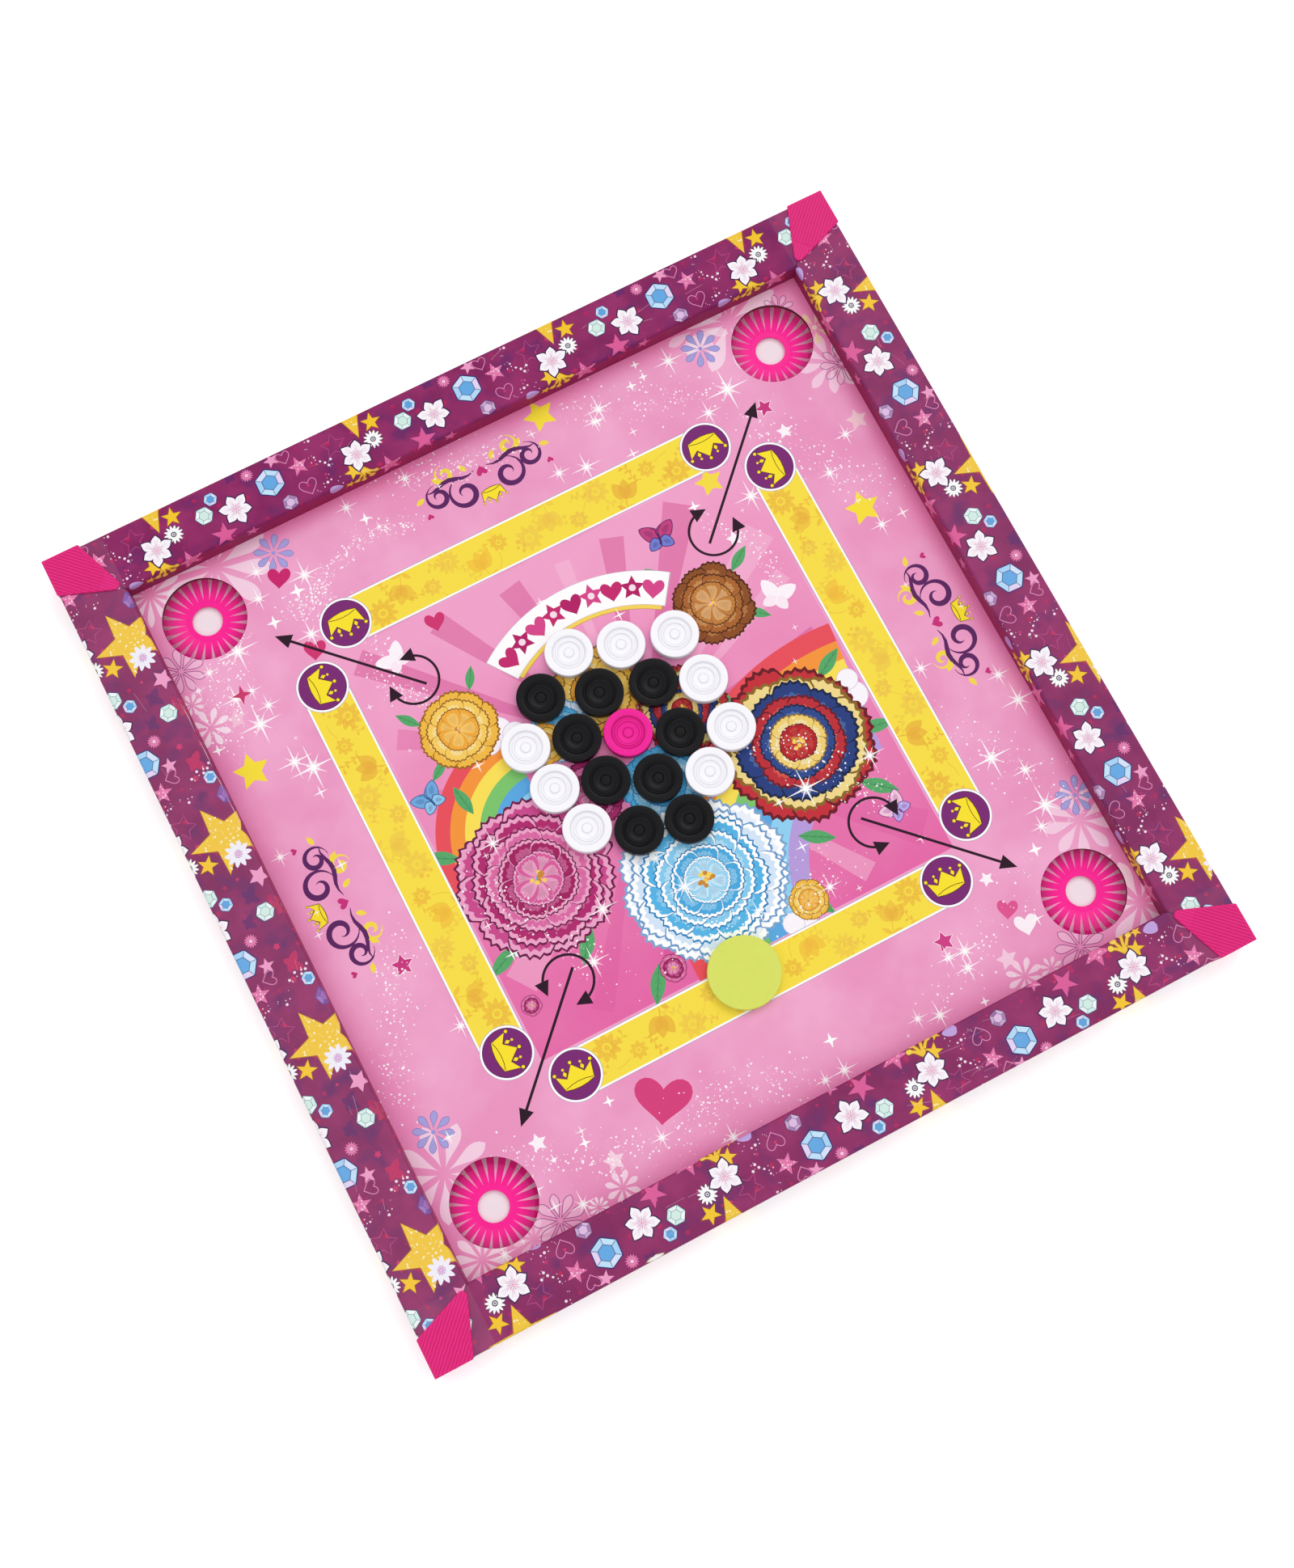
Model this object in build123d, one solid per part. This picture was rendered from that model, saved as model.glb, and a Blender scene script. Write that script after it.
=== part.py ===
from build123d import *
import os
from math import sqrt

os.makedirs("parts", exist_ok=True)

# The board lies in the XY plane with its underside at Z = 0 and its centre on the Z axis.
# The player who strikes sits on the -Y side.

# Frame of four rails, mitred at the corners and rebated below to lap over the panel
board_side = 508.0
rail_width = 36.0
rail_height = 25.4
wall_height = 14.0
lip_depth = 12.0
rail_edge_radius = 1.5
wrap_thickness = 0.3
wrap_hem = 1.0

# Panel and the printed sheet on it
panel_thickness = 3.0
sheet_thickness = 0.3
panel_play = 0.2

# Pockets: round holes in the panel, each with a slotted cup hung below it
pocket_inset = 31.4
pocket_hole_radius = 24.65
cup_mouth_step = 3.0
cup_wall = 1.2
cup_floor_gap = 1.2
cup_flange_width = 5.0
cup_drain_radius = 8.9
cup_floor_width = 3.2
cup_slot_count = 24
cup_slot_root_gap = 0.5
cup_slot_mouth_width = 2.8
cup_slot_rim = 0.6
cup_shoulder_radius_share = 0.84
cup_shoulder_depth_share = 0.62

# How far each cup is set off the middle of its hole by hand, in pocket hole radii
cup_slip_shares = {
    "back_right": (-0.035, -0.020),
    "back_left": (0.010, 0.040),
    "front_left": (-0.069, -0.065),
    "front_right": (0.049, 0.047),
}

# Corner caps: a kite-shaped plate on the mitre and two skirts down the outer faces
cap_reach = 22.0
cap_plate = 1.2
cap_skirt = 0.8
cap_skirt_gap = 1.5
cap_tip_radius = 3.0
cap_side_radius = 1.2
cap_bevel = 0.4
cap_rib_pitch = 1.8
cap_rib_width = 0.9
cap_rib_height = 0.25
cap_rib_margin = 1.3

# Nails and tacks
frame_nail_width = 1.6
frame_nail_length = 32.0
frame_nail_head_radius = 1.9
frame_nail_height_shares = (0.3, 0.72)
panel_nail_width = 1.4
panel_nail_length = 12.0
panel_nail_head_radius = 2.2
panel_nails_per_side = 4
tack_width = 1.2
tack_length = 3.6
tack_head_radius = 1.7
tacks_per_cup = 3
tack_first_angle = 45
cap_nail_width = 1.2
cap_nail_length = 10.0
cap_nail_head_radius = 1.5
nail_head_height = 0.5
nail_head_sides = 6
nail_tip_share = 0.4

# Carrommen: one mould for the nine white, nine black and the queen
coin_diameter = 28.3
coin_height = 6.0
coin_bevel = 0.7
coin_dish_depth = 1.2
coin_ring_height = 0.6
coin_rim_share = 0.66
coin_ring_foot_share = 0.55
coin_ring_share = 0.48
coin_boss_share = 0.24

# Striker
striker_diameter = 42.0
striker_height = 5.0
striker_bevel = 0.4
striker_across_share = -0.0282
striker_forward_share = -0.637

# Where the discs lie, in coin diameters from the middle of the board
white_place_shares = (
    (-0.327, 2.493),
    (0.696, 2.160),
    (1.772, 1.853),
    (1.859, 0.759),
    (1.888, -0.388),
    (1.071, -1.012),
    (-2.001, 1.126),
    (-1.860, 0.113),
    (-1.655, -0.909),
)
black_place_shares = (
    (-1.261, 1.915),
    (-0.157, 1.470),
    (0.915, 1.152),
    (-0.991, 0.837),
    (0.920, -0.008),
    (-0.871, -0.206),
    (0.085, -0.649),
    (-0.748, -1.420),
    (0.255, -1.675),
)
queen_place_share = (-0.023, 0.456)

half_side = board_side / 2
inner_half = half_side - rail_width
surface_z = rail_height - wall_height
panel_top_z = surface_z - sheet_thickness
panel_bottom_z = panel_top_z - panel_thickness
panel_half = inner_half + lip_depth - panel_play
pocket_place = inner_half - pocket_inset
core_inner = inner_half + wrap_thickness
core_outer = half_side - wrap_thickness
core_top_z = rail_height - wrap_thickness
lip_outer = inner_half + lip_depth
cap_outer = half_side + cap_skirt
coin_radius = coin_diameter / 2

side_turns = {"back": 0, "left": 90, "front": 180, "right": 270}
corner_turns = {
    "back_right": 0,
    "back_left": 90,
    "front_left": 180,
    "front_right": 270,
}
corner_signs = {
    "back_right": (1, 1),
    "back_left": (-1, 1),
    "front_left": (-1, -1),
    "front_right": (1, -1),
}


def quarter_wedge():
    """The quarter of the board between its two back diagonals, where the back rail lies."""
    outline = Polyline(
        (0, 0), (board_side, board_side), (-board_side, board_side), close=True
    )
    return extrude(make_face(outline), amount=rail_height)


def along_back(profile):
    """A section in (outward, up) run along the back edge and mitred at both ends."""
    bar = extrude(Plane.YZ * profile, amount=half_side, both=True)
    return bar & quarter_wedge()


def round_top(face, radius):
    """The face with its two topmost corners rounded."""
    return fillet(face.vertices().group_by(Axis.Y)[-1], radius)


def rail_profile():
    """Wood of a rail: full height outside, a lip over the panel inside."""
    outline = Polyline(
        (lip_outer, 0),
        (core_outer, 0),
        (core_outer, core_top_z),
        (core_inner, core_top_z),
        (core_inner, surface_z),
        (lip_outer, surface_z),
        close=True,
    )
    return round_top(make_face(outline), rail_edge_radius)


def wrap_profile():
    """Paper glued round a rail: up the inner wall, over the top and down outside."""
    outline = Polyline(
        (inner_half, surface_z),
        (inner_half, rail_height),
        (half_side, rail_height),
        (half_side, wrap_hem),
        (lip_outer, wrap_hem),
        (lip_outer, surface_z),
        close=True,
    )
    outer_radius = rail_edge_radius + wrap_thickness
    return round_top(make_face(outline), outer_radius) - rail_profile()


def at_pockets(shape):
    """Four copies of a shape made on the Z axis, one at each pocket."""
    return [
        Pos(across * pocket_place, along * pocket_place, 0) * shape
        for across, along in corner_signs.values()
    ]


def pierced_board(half, bottom_z, thickness):
    """A square board with the four pocket holes through it."""
    square = Rectangle(2 * half, 2 * half)
    holes = at_pockets(Circle(pocket_hole_radius))
    return Pos(0, 0, bottom_z) * extrude(square - holes, amount=thickness)


def cup_place(corner_name):
    """Where a cup's axis stands: at its hole's middle, and off it by the fitter's hand."""
    across, along = corner_signs[corner_name]
    slip_across, slip_along = cup_slip_shares[corner_name]
    return Pos(
        across * pocket_place + slip_across * pocket_hole_radius,
        along * pocket_place + slip_along * pocket_hole_radius,
        0,
    )


def cup_slot(mouth_radius):
    """Space of one slot, pointed near the cup's floor and wide at its mouth."""
    root_radius = cup_drain_radius + cup_floor_width + cup_slot_root_gap
    end_radius = mouth_radius - cup_slot_rim
    outline = Polyline(
        (root_radius, 0),
        (end_radius, -cup_slot_mouth_width / 2),
        (end_radius, cup_slot_mouth_width / 2),
        close=True,
    )
    return extrude(make_face(outline), amount=panel_bottom_z)


def cup_section(radius, height):
    """Level outline of the cup, with one flat side for each rib between two slots."""
    return Pos(0, 0, height) * RegularPolygon(radius, cup_slot_count)


def pocket_cup():
    """Moulded dish with a flange for tacks, a drain hole and a ring of radial slots."""
    floor_z = cup_floor_gap + cup_wall
    flange_z = panel_bottom_z - cup_wall
    mouth_radius = pocket_hole_radius + cup_mouth_step
    floor_radius = cup_drain_radius + cup_floor_width
    shoulder_radius = mouth_radius * cup_shoulder_radius_share
    shoulder_z = panel_bottom_z - (panel_bottom_z - floor_z) * cup_shoulder_depth_share
    flange_radius = mouth_radius + cup_wall + cup_flange_width
    hollow = loft(
        [
            cup_section(floor_radius, floor_z),
            cup_section(shoulder_radius, shoulder_z),
            cup_section(mouth_radius, panel_bottom_z),
        ],
        ruled=True,
    )
    shell = loft(
        [
            cup_section(floor_radius, cup_floor_gap),
            cup_section(shoulder_radius + cup_wall / 2, shoulder_z - cup_wall),
            cup_section(mouth_radius + cup_wall, flange_z),
        ],
        ruled=True,
    )
    flange = extrude(cup_section(flange_radius, flange_z), amount=cup_wall)
    drain = extrude(cup_section(cup_drain_radius, 0), amount=panel_bottom_z)
    slots = PolarLocations(0, cup_slot_count) * cup_slot(mouth_radius)
    return shell + flange - hollow - drain - slots


def kite(inset):
    """Outline of the cap on the back right corner, drawn in by the inset."""
    outline = Polyline(
        (cap_outer, cap_outer),
        (half_side - cap_reach, cap_outer),
        (inner_half, inner_half),
        (cap_outer, half_side - cap_reach),
        close=True,
    )
    face = make_face(outline)
    by_diagonal = sorted(face.vertices(), key=lambda v: v.X + v.Y)
    face = fillet(by_diagonal[:1], cap_tip_radius)
    sides_of_kite = sorted(face.vertices(), key=lambda v: abs(v.X - v.Y))[-2:]
    face = fillet(sides_of_kite, cap_side_radius)
    return offset(face, -inset) if inset else face


def cap_ribs():
    """Fine grip ribs on the cap, all parallel to the kite's long axis."""
    half_width = cap_reach / sqrt(2) + cap_rib_pitch
    count = 2 * int(half_width / cap_rib_pitch) + 1
    length = 2 * (cap_outer - inner_half)
    rib = Pos(cap_outer, cap_outer, 0) * Rot(0, 0, 45) * Rectangle(length, cap_rib_width)
    across = Vector(-1, 1, 0).normalized() * cap_rib_pitch
    rows = [Pos(across * (k - count // 2)) * rib for k in range(count)]
    inside = [row & kite(cap_rib_margin) for row in rows]
    ribs = [
        extrude(face, amount=cap_rib_height)
        for group in inside
        for face in group.faces()
    ]
    return [Pos(0, 0, rail_height + cap_plate) * rib for rib in ribs]


def corner_cap():
    """Kite plate over the mitre, two skirts down the outer faces, ribs on top."""
    plate = extrude(kite(0), amount=cap_plate)
    plate = chamfer(plate.faces().sort_by(Axis.Z)[-1].edges(), cap_bevel)
    plate = Pos(0, 0, rail_height) * plate
    skirt_height = rail_height - cap_skirt_gap
    skirt_length = cap_reach + cap_skirt - cap_side_radius
    corner = Pos(cap_outer, cap_outer, cap_skirt_gap)
    align = (Align.MAX, Align.MAX, Align.MIN)
    skirts = [
        corner * Box(skirt_length, cap_skirt, skirt_height, align=align),
        corner * Box(cap_skirt, skirt_length, skirt_height, align=align),
    ]
    return plate + skirts + cap_ribs()


def nail(width, length, head_radius):
    """A cut nail driven along +Z: tapered flat shank, its head's underside at the origin."""
    tip = width * nail_tip_share
    shank_outline = Polyline(
        (-width / 2, 0), (width / 2, 0), (tip / 2, length), (-tip / 2, length), close=True
    )
    shank = extrude(Plane.XZ * make_face(shank_outline), amount=width / 2, both=True)
    head = extrude(RegularPolygon(head_radius, nail_head_sides), amount=-nail_head_height)
    return shank + head


def frame_nails():
    """Two nails through each mitre, driven from the left and right faces."""
    one = nail(frame_nail_width, frame_nail_length, frame_nail_head_radius)
    depth = core_outer - nail_head_height
    inset = core_outer - frame_nail_length / 4
    placed = []
    for share in frame_nail_height_shares:
        height = rail_height * share
        for along in (-inset, inset):
            placed.append(Pos(depth, along, height) * Rot(0, -90, 0) * one)
            placed.append(Pos(-depth, along, height) * Rot(0, 90, 0) * one)
    return placed


def panel_nails():
    """A row of nails along each edge, up through the panel into the rail's lip."""
    one = Pos(0, 0, panel_bottom_z) * nail(
        panel_nail_width, panel_nail_length, panel_nail_head_radius
    )
    pitch = 2 * inner_half / panel_nails_per_side
    row = inner_half + lip_depth / 2
    placed = []
    for angle in side_turns.values():
        for k in range(panel_nails_per_side):
            along = (k + 0.5) * pitch - inner_half
            placed.append(Rot(0, 0, angle) * Pos(along, row, 0) * one)
    return placed


def pocket_tacks():
    """Tacks through each cup's flange into the panel."""
    flange_middle = (
        pocket_hole_radius + cup_mouth_step + cup_wall + cup_flange_width / 2
    )
    one = Pos(0, 0, panel_bottom_z - cup_wall) * nail(
        tack_width, tack_length, tack_head_radius
    )
    ring = PolarLocations(flange_middle, tacks_per_cup, start_angle=tack_first_angle) * one
    return [cup_place(name) * tack for name in corner_signs for tack in ring]


def cap_nails():
    """One nail through each skirt of each cap, into the rail behind it."""
    one = nail(cap_nail_width, cap_nail_length, cap_nail_head_radius)
    along = cap_outer - cap_reach / 2
    height = rail_height / 2
    pair = [
        Pos(cap_outer, along, height) * Rot(0, -90, 0) * one,
        Pos(along, cap_outer, height) * Rot(90, 0, 0) * one,
    ]
    return [Rot(0, 0, angle) * piece for angle in corner_turns.values() for piece in pair]


def coin():
    """A carromman: wide flat rim round a dish with one raised ring and a middle boss."""
    rim = coin_radius * coin_rim_share
    ring_foot = coin_radius * coin_ring_foot_share
    ring = coin_radius * coin_ring_share
    boss = coin_radius * coin_boss_share
    floor_z = coin_height - coin_dish_depth
    ring_z = floor_z + coin_ring_height
    outline = Polyline(
        (0, 0),
        (coin_radius, 0),
        (coin_radius, coin_height - coin_bevel),
        (coin_radius - coin_bevel, coin_height),
        (rim, coin_height),
        (ring_foot, floor_z),
        (ring, ring_z),
        (boss, floor_z),
        (0, ring_z),
        close=True,
    )
    return Pos(0, 0, surface_z) * revolve(Plane.XZ * make_face(outline), Axis.Z)


def striker():
    """Plain thick disc with eased edges, on the near base line."""
    disc = Cylinder(
        striker_diameter / 2,
        striker_height,
        align=(Align.CENTER, Align.CENTER, Align.MIN),
    )
    rims = disc.edges().filter_by(GeomType.CIRCLE)
    disc = chamfer(rims.sort_by(Axis.Z)[-1], striker_bevel)
    across = striker_across_share * inner_half
    forward = striker_forward_share * inner_half
    return Pos(across, forward, surface_z) * disc


def write(name, shape):
    """One STEP file per sub-part; several solids go in as a group."""
    if isinstance(shape, list):
        shape = Compound(children=[piece.solids()[0] for piece in shape])
    shape.label = name
    export_step(shape, f"parts/{name}.step")
    print(name, round(shape.volume, 1))


write("board_panel", pierced_board(panel_half, panel_bottom_z, panel_thickness))
write("playing_sheet", pierced_board(panel_half, panel_top_z, sheet_thickness))

rail = along_back(rail_profile())
wrap = along_back(wrap_profile())
for side, turn in side_turns.items():
    write(f"rail_{side}", Rot(0, 0, turn) * rail)
    write(f"rail_wrap_{side}", Rot(0, 0, turn) * wrap)

cap = corner_cap()
cup = pocket_cup()
for corner_name, turn in corner_turns.items():
    write(f"corner_cap_{corner_name}", Rot(0, 0, turn) * cap)
    write(f"pocket_cup_{corner_name}", cup_place(corner_name) * cup)

write("frame_nails", frame_nails())
write("panel_nails", panel_nails())
write("pocket_tacks", pocket_tacks())
write("cap_nails", cap_nails())

carromman = coin()
for number, (across, along) in enumerate(white_place_shares, start=1):
    place = Pos(across * coin_diameter, along * coin_diameter, 0)
    write(f"white_coin_{number}", place * carromman)
for number, (across, along) in enumerate(black_place_shares, start=1):
    place = Pos(across * coin_diameter, along * coin_diameter, 0)
    write(f"black_coin_{number}", place * carromman)
queen_across, queen_along = queen_place_share
place = Pos(queen_across * coin_diameter, queen_along * coin_diameter, 0)
write("queen", place * carromman)
write("striker", striker())
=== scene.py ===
# %% [markdown]
# # A printed carrom board
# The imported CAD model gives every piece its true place. This script dresses it: it draws the
# printed papers, turns the carrommen on a profile, gives each material its surface, and sets a
# camera, a pale floor and soft lights.

# %% Load the frame
import math
import random

import bmesh
import bpy
from mathutils import Matrix, Vector
from mathutils.geometry import delaunay_2d_cdt


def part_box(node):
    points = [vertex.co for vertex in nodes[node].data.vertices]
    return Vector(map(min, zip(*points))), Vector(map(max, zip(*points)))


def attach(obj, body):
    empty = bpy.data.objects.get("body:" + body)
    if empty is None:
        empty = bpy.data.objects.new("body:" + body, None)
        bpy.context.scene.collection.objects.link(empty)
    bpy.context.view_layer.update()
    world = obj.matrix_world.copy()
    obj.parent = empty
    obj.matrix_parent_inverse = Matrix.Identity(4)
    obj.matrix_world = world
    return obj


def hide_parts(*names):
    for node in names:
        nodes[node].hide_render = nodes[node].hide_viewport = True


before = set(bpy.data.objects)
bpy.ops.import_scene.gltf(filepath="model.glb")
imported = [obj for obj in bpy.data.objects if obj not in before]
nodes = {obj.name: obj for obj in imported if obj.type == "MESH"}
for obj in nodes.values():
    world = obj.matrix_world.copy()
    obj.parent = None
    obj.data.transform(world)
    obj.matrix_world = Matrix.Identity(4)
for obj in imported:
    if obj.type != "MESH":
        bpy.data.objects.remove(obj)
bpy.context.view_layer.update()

MM = 0.001

# %% [markdown]
# ## Sizes that the frame gives
# The same lengths that the solids were made with can be read back from their boxes, so the
# papers fit the rails and the panel without a second set of numbers. No box tells where the
# round holes are; those numbers are the source's own.

# %% Read the sizes back
sheet_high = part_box("playing_sheet")[1]
wrap_low, wrap_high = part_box("rail_wrap_back")
cup_middles = {}
for corner in ("back_right", "back_left", "front_left", "front_right"):
    cup_low, cup_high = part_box("pocket_cup_" + corner)
    cup_middles[corner] = (cup_low + cup_high) / 2

surface_z, panel_half = sheet_high.z / MM, sheet_high.x / MM
rail_top_z, half_side, inner_half = wrap_high.z / MM, wrap_high.y / MM, wrap_low.y / MM
rail_width = half_side - inner_half
pocket_place, pocket_radius, drain_radius = 186.6, 24.65, 11.0
print("surface at", round(surface_z, 2), "mm, rail top at", round(rail_top_z, 2), "mm")

# %% [markdown]
# ## Camera
# The photograph was taken from above the near left part of the board, turned so that the board
# stands on a corner. The place and angles come from fitting the frame's corners, the playing
# lines and the discs.

# %% Camera
focal_pixels, photo_height = 2493.1, 1939
camera_data = bpy.data.cameras.new("camera")
camera_data.sensor_fit = "AUTO"
camera_data.sensor_width = 36.0
camera_data.lens = camera_data.sensor_width * (focal_pixels / photo_height)
camera = bpy.data.objects.new("camera", camera_data)
camera.location = Vector((-126.25, -217.44, 1126.84 + surface_z)) * MM
camera.rotation_euler = [math.radians(a) for a in (11.6988, -0.8015, -27.5229)]
bpy.context.scene.collection.objects.link(camera)
bpy.context.scene.camera = camera
bpy.context.scene.view_settings.view_transform = "Standard"
print("lens:", round(camera_data.lens, 1), "mm")

# %% [markdown]
# ## Helpers for colours and nodes
# Colours are written as the eye reads them, in sRGB hex, and one function turns them to the
# linear values that a shader adds up. One small function adds any node.

# %% Colours
def linear(hex_colour):
    """An sRGB hex colour as linear red, green, blue."""
    parts = [int(hex_colour[i : i + 2], 16) / 255 for i in (0, 2, 4)]
    return tuple(p / 12.92 if p <= 0.04045 else ((p + 0.055) / 1.055) ** 2.4 for p in parts)


def rgba(hex_colour):
    return (*linear(hex_colour), 1.0)


# %% Nodes
def plug(made, inputs):
    """Sets or links a node's inputs, given by name or in their order."""
    for key, value in inputs.items() if isinstance(inputs, dict) else enumerate(inputs):
        if isinstance(value, bpy.types.NodeSocket):
            made.id_data.links.new(value, made.inputs[key])
        else:
            made.inputs[key].default_value = value


def node(tree, kind, inputs=(), out=0, **settings):
    """Adds a node and gives back one of its outputs; inputs takes values or outputs."""
    made = tree.nodes.new("ShaderNode" + kind)
    for name, value in settings.items():
        setattr(made, name, value)
    plug(made, inputs)
    return made.outputs[out]


def new_material(name):
    """A material, the tree to add nodes to, its shader, and each point's place."""
    material = bpy.data.materials.new(name)
    material.use_nodes = True
    tree = material.node_tree
    return material, tree, tree.nodes["Principled BSDF"], node(tree, "TexCoord", out="Object")


def where_seen(tree, level):
    """The level, but 1 for the camera and for what shows in a mirror or through clear plastic."""
    path = node(tree, "LightPath").node.outputs
    for kind in ("Is Camera Ray", "Is Glossy Ray", "Is Transmission Ray"):
        level = node(tree, "Math", [level, path[kind]], operation="MAXIMUM")
    return level


# %% [markdown]
# ## Floor and light
# A white table in even light, with one broad soft light from behind on the right: the back and
# right walls then shade the sheet beside them, as in the photograph. The floor shows its own
# white to the camera and still takes the board's shadow. Under the panel the floor carries a
# painted pink glow, an emission that stands in for the light of the cups, darker further out
# from each cup. Straight below a drain the glow is almost dark, and the floor is painted a
# pinkish white for the light that falls through.

# %% Floor
floor_material, tree, shader, place = new_material("white_paper_sweep")
out = node(tree, "VectorMath", [place], operation="ABSOLUTE")
out = node(tree, "Math", node(tree, "SeparateXYZ", [out]).node.outputs[:2], operation="MAXIMUM")
out = node(tree, "Math", [out, half_side * MM], operation="GREATER_THAN")
below = node(tree, "NewGeometry", out="Backfacing")
out = node(tree, "Math", [out, below], operation="MAXIMUM")
# Under the panel the emission is a painted pink glow, not a lamp.
tone, base = rgba("B95A8C"), (0.9, 0.9, 0.9, 1.0)
for middle in cup_middles.values():
    away = node(tree, "VectorMath", [place, (middle.x, middle.y, 0.0)], "Value",
                operation="DISTANCE")
    # Painted glow round each cup, darker further out.
    depth = node(tree, "MapRange", [away, 14 * MM, 23.5 * MM])
    ring = node(tree, "Mix", {0: depth, 6: rgba("DC86B4"), 7: rgba("6A3049")}, 2,
                data_type="RGBA")
    near = node(tree, "Math", [away, 30 * MM], operation="LESS_THAN")
    tone = node(tree, "Mix", {0: near, 6: tone, 7: ring}, 2, data_type="RGBA")
    # Below a drain: a nearly dark painted glow, and the floor painted a pinkish white.
    near = node(tree, "Math", [away, drain_radius * MM], operation="LESS_THAN")
    tone = node(tree, "Mix", {0: near, 6: tone, 7: rgba("241E22")}, 2, data_type="RGBA")
    base = node(tree, "Mix", {0: near, 6: base, 7: rgba("F5EAF1")}, 2, data_type="RGBA")
tone = node(tree, "Mix", {0: out, 6: tone, 7: rgba("A6A6A6")}, 2, data_type="RGBA")
plug(shader, {"Base Color": base, "Roughness": 0.9, "Emission Color": tone,
              "Emission Strength": where_seen(tree, 0.0)})

floor_bm = bmesh.new()
bmesh.ops.create_grid(floor_bm, x_segments=1, y_segments=1, size=6.0)
floor_mesh = bpy.data.meshes.new("floor")
floor_bm.to_mesh(floor_mesh)
floor_bm.free()
floor_mesh.materials.append(floor_material)
floor = bpy.data.objects.new("floor", floor_mesh)
bpy.context.scene.collection.objects.link(floor)
print("floor:", floor_material.name)

# %% Lights
# A studio's light is strongest overhead and falls off towards the walls. The backdrop itself
# is white wherever it is seen or mirrored.
world = bpy.data.worlds.new("studio")
bpy.context.scene.world = world
world.use_nodes = True
tree = world.node_tree
height = node(tree, "SeparateXYZ", [node(tree, "TexCoord", out="Generated")], "Z")
level = where_seen(tree, node(tree, "MapRange", [height, 0.0, 1.0, 0.32, 1.12]))
plug(tree.nodes["Background"], {"Color": (1.0, 1.0, 1.0, 1.0), "Strength": level})

sun_data = bpy.data.lights.new("window", "SUN")
sun_data.energy = 0.55
sun_data.angle = math.radians(35)
sun = bpy.data.objects.new("window", sun_data)
sun.rotation_euler = Vector((0.7, 0.62, 1.25)).to_track_quat("Z", "Y").to_euler()
bpy.context.scene.collection.objects.link(sun)
print("lights: a studio's backdrop and one window")

# %% [markdown]
# ## A flat drawing that becomes a mesh
# The papers are offset prints: flat inks with crisp edges, laid over each other. Here every
# motif is a list of outlines in millimetres. One constrained triangulation cuts all the
# outlines into a single flat mesh, and each face stores the colour of the inks over it, from
# the bottom to the top. Edges stay sharp at any distance.

# %% Outlines
def ring_of(count, radius, turn=0.0):
    """Points on a circle, in order, the first one at the angle turn in degrees."""
    angles = [math.radians(turn) + 2 * math.pi * k / count for k in range(count)]
    return [(radius * math.cos(a), radius * math.sin(a)) for a in angles]


def box_outline(x0, y0, x1, y1):
    return [(x0, y0), (x1, y0), (x1, y1), (x0, y1)]


def star_outline(radius, waist=0.45, points=5, turn=90.0):
    outer = ring_of(points, radius, turn)
    inner = ring_of(points, radius * waist, turn + 180 / points)
    return [p for pair in zip(outer, inner) for p in pair]


def swelling(length, width, start, steps, later, slimness):
    """An outline along +X; later moves its widest part out, slimness narrows its ends."""
    upper = []
    for k in range(1, 2 * steps):
        share = k / (2 * steps)
        half = width / 2 * math.sin(math.pi * share ** later) ** slimness
        upper.append((start + (length - start) * share, half))
    lower = [(x, -y) for x, y in reversed(upper)]
    return [(start, 0.0)] + upper + [(length, 0.0)] + lower


def petal_outline(length, width, start=0.0, tip=0.5, steps=5):
    """A petal from start to length; tip 0 is round, 1 is pointed."""
    return swelling(length, width, start, steps, 1 - 0.35 * (1 - tip), 0.6 + 0.5 * tip)


def drop_outline(length, width, start):
    """A petal that is widest close to its round end."""
    return swelling(length, width, start, 5, 1.9, 0.75)


def bud_outline(length, width):
    """A petal that is widest past its middle and ends in a point."""
    return swelling(length, width, 0.0, 5, 1.3, 1.15)


def heart_outline(width, steps=12):
    points = []
    for k in range(2 * steps):
        a = math.pi * k / steps
        x = math.copysign(abs(math.sin(a)) ** 2.3, math.sin(a))
        y = (13 * math.cos(a) - 5 * math.cos(2 * a) - 2 * math.cos(3 * a) - math.cos(4 * a)) / 16
        points.append((x * width / 2, y * width / 2))
    return points[::-1]


def arc_path(centre, radius, start, end, steps=24):
    """Points on an arc, whose ends are given in degrees."""
    angles = [math.radians(start + (end - start) * k / steps) for k in range(steps + 1)]
    return [(centre[0] + radius * math.cos(a), centre[1] + radius * math.sin(a)) for a in angles]


# %% [markdown]
# A motif is a list of inks: each has an outline, a colour and how far it covers what is below.
# A line is laid as a row of four-cornered pieces, so that a closed line needs no hole.

# %% Inks
def moved(points, at=(0.0, 0.0), turn=0.0, scale=1.0):
    cos = math.cos(math.radians(turn)) * scale
    sin = math.sin(math.radians(turn)) * scale
    return [(at[0] + x * cos - y * sin, at[1] + x * sin + y * cos) for x, y in points]


def placed(motif, at=(0.0, 0.0), turn=0.0):
    """The whole motif, moved."""
    return [(moved(points, at, turn), colour, cover) for points, colour, cover in motif]


def ink(points, colour, cover=1.0, at=(0.0, 0.0), turn=0.0, scale=1.0):
    return [(moved(points, at, turn, scale), linear(colour), cover)]


def dot(radius, colour, at=(0.0, 0.0), cover=1.0, sides=10):
    return ink(ring_of(sides, radius), colour, cover, at)


def wheel(motif, count, turn=0.0):
    """The motif count times round its middle."""
    inks = []
    for k in range(count):
        inks += placed(motif, turn=turn + 360 / count * k)
    return inks


def round_middle(points):
    """The corners in order round their middle, so that no two sides cross."""
    x = sum(p[0] for p in points) / len(points)
    y = sum(p[1] for p in points) / len(points)
    return sorted(points, key=lambda p: math.atan2(p[1] - y, p[0] - x))


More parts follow.
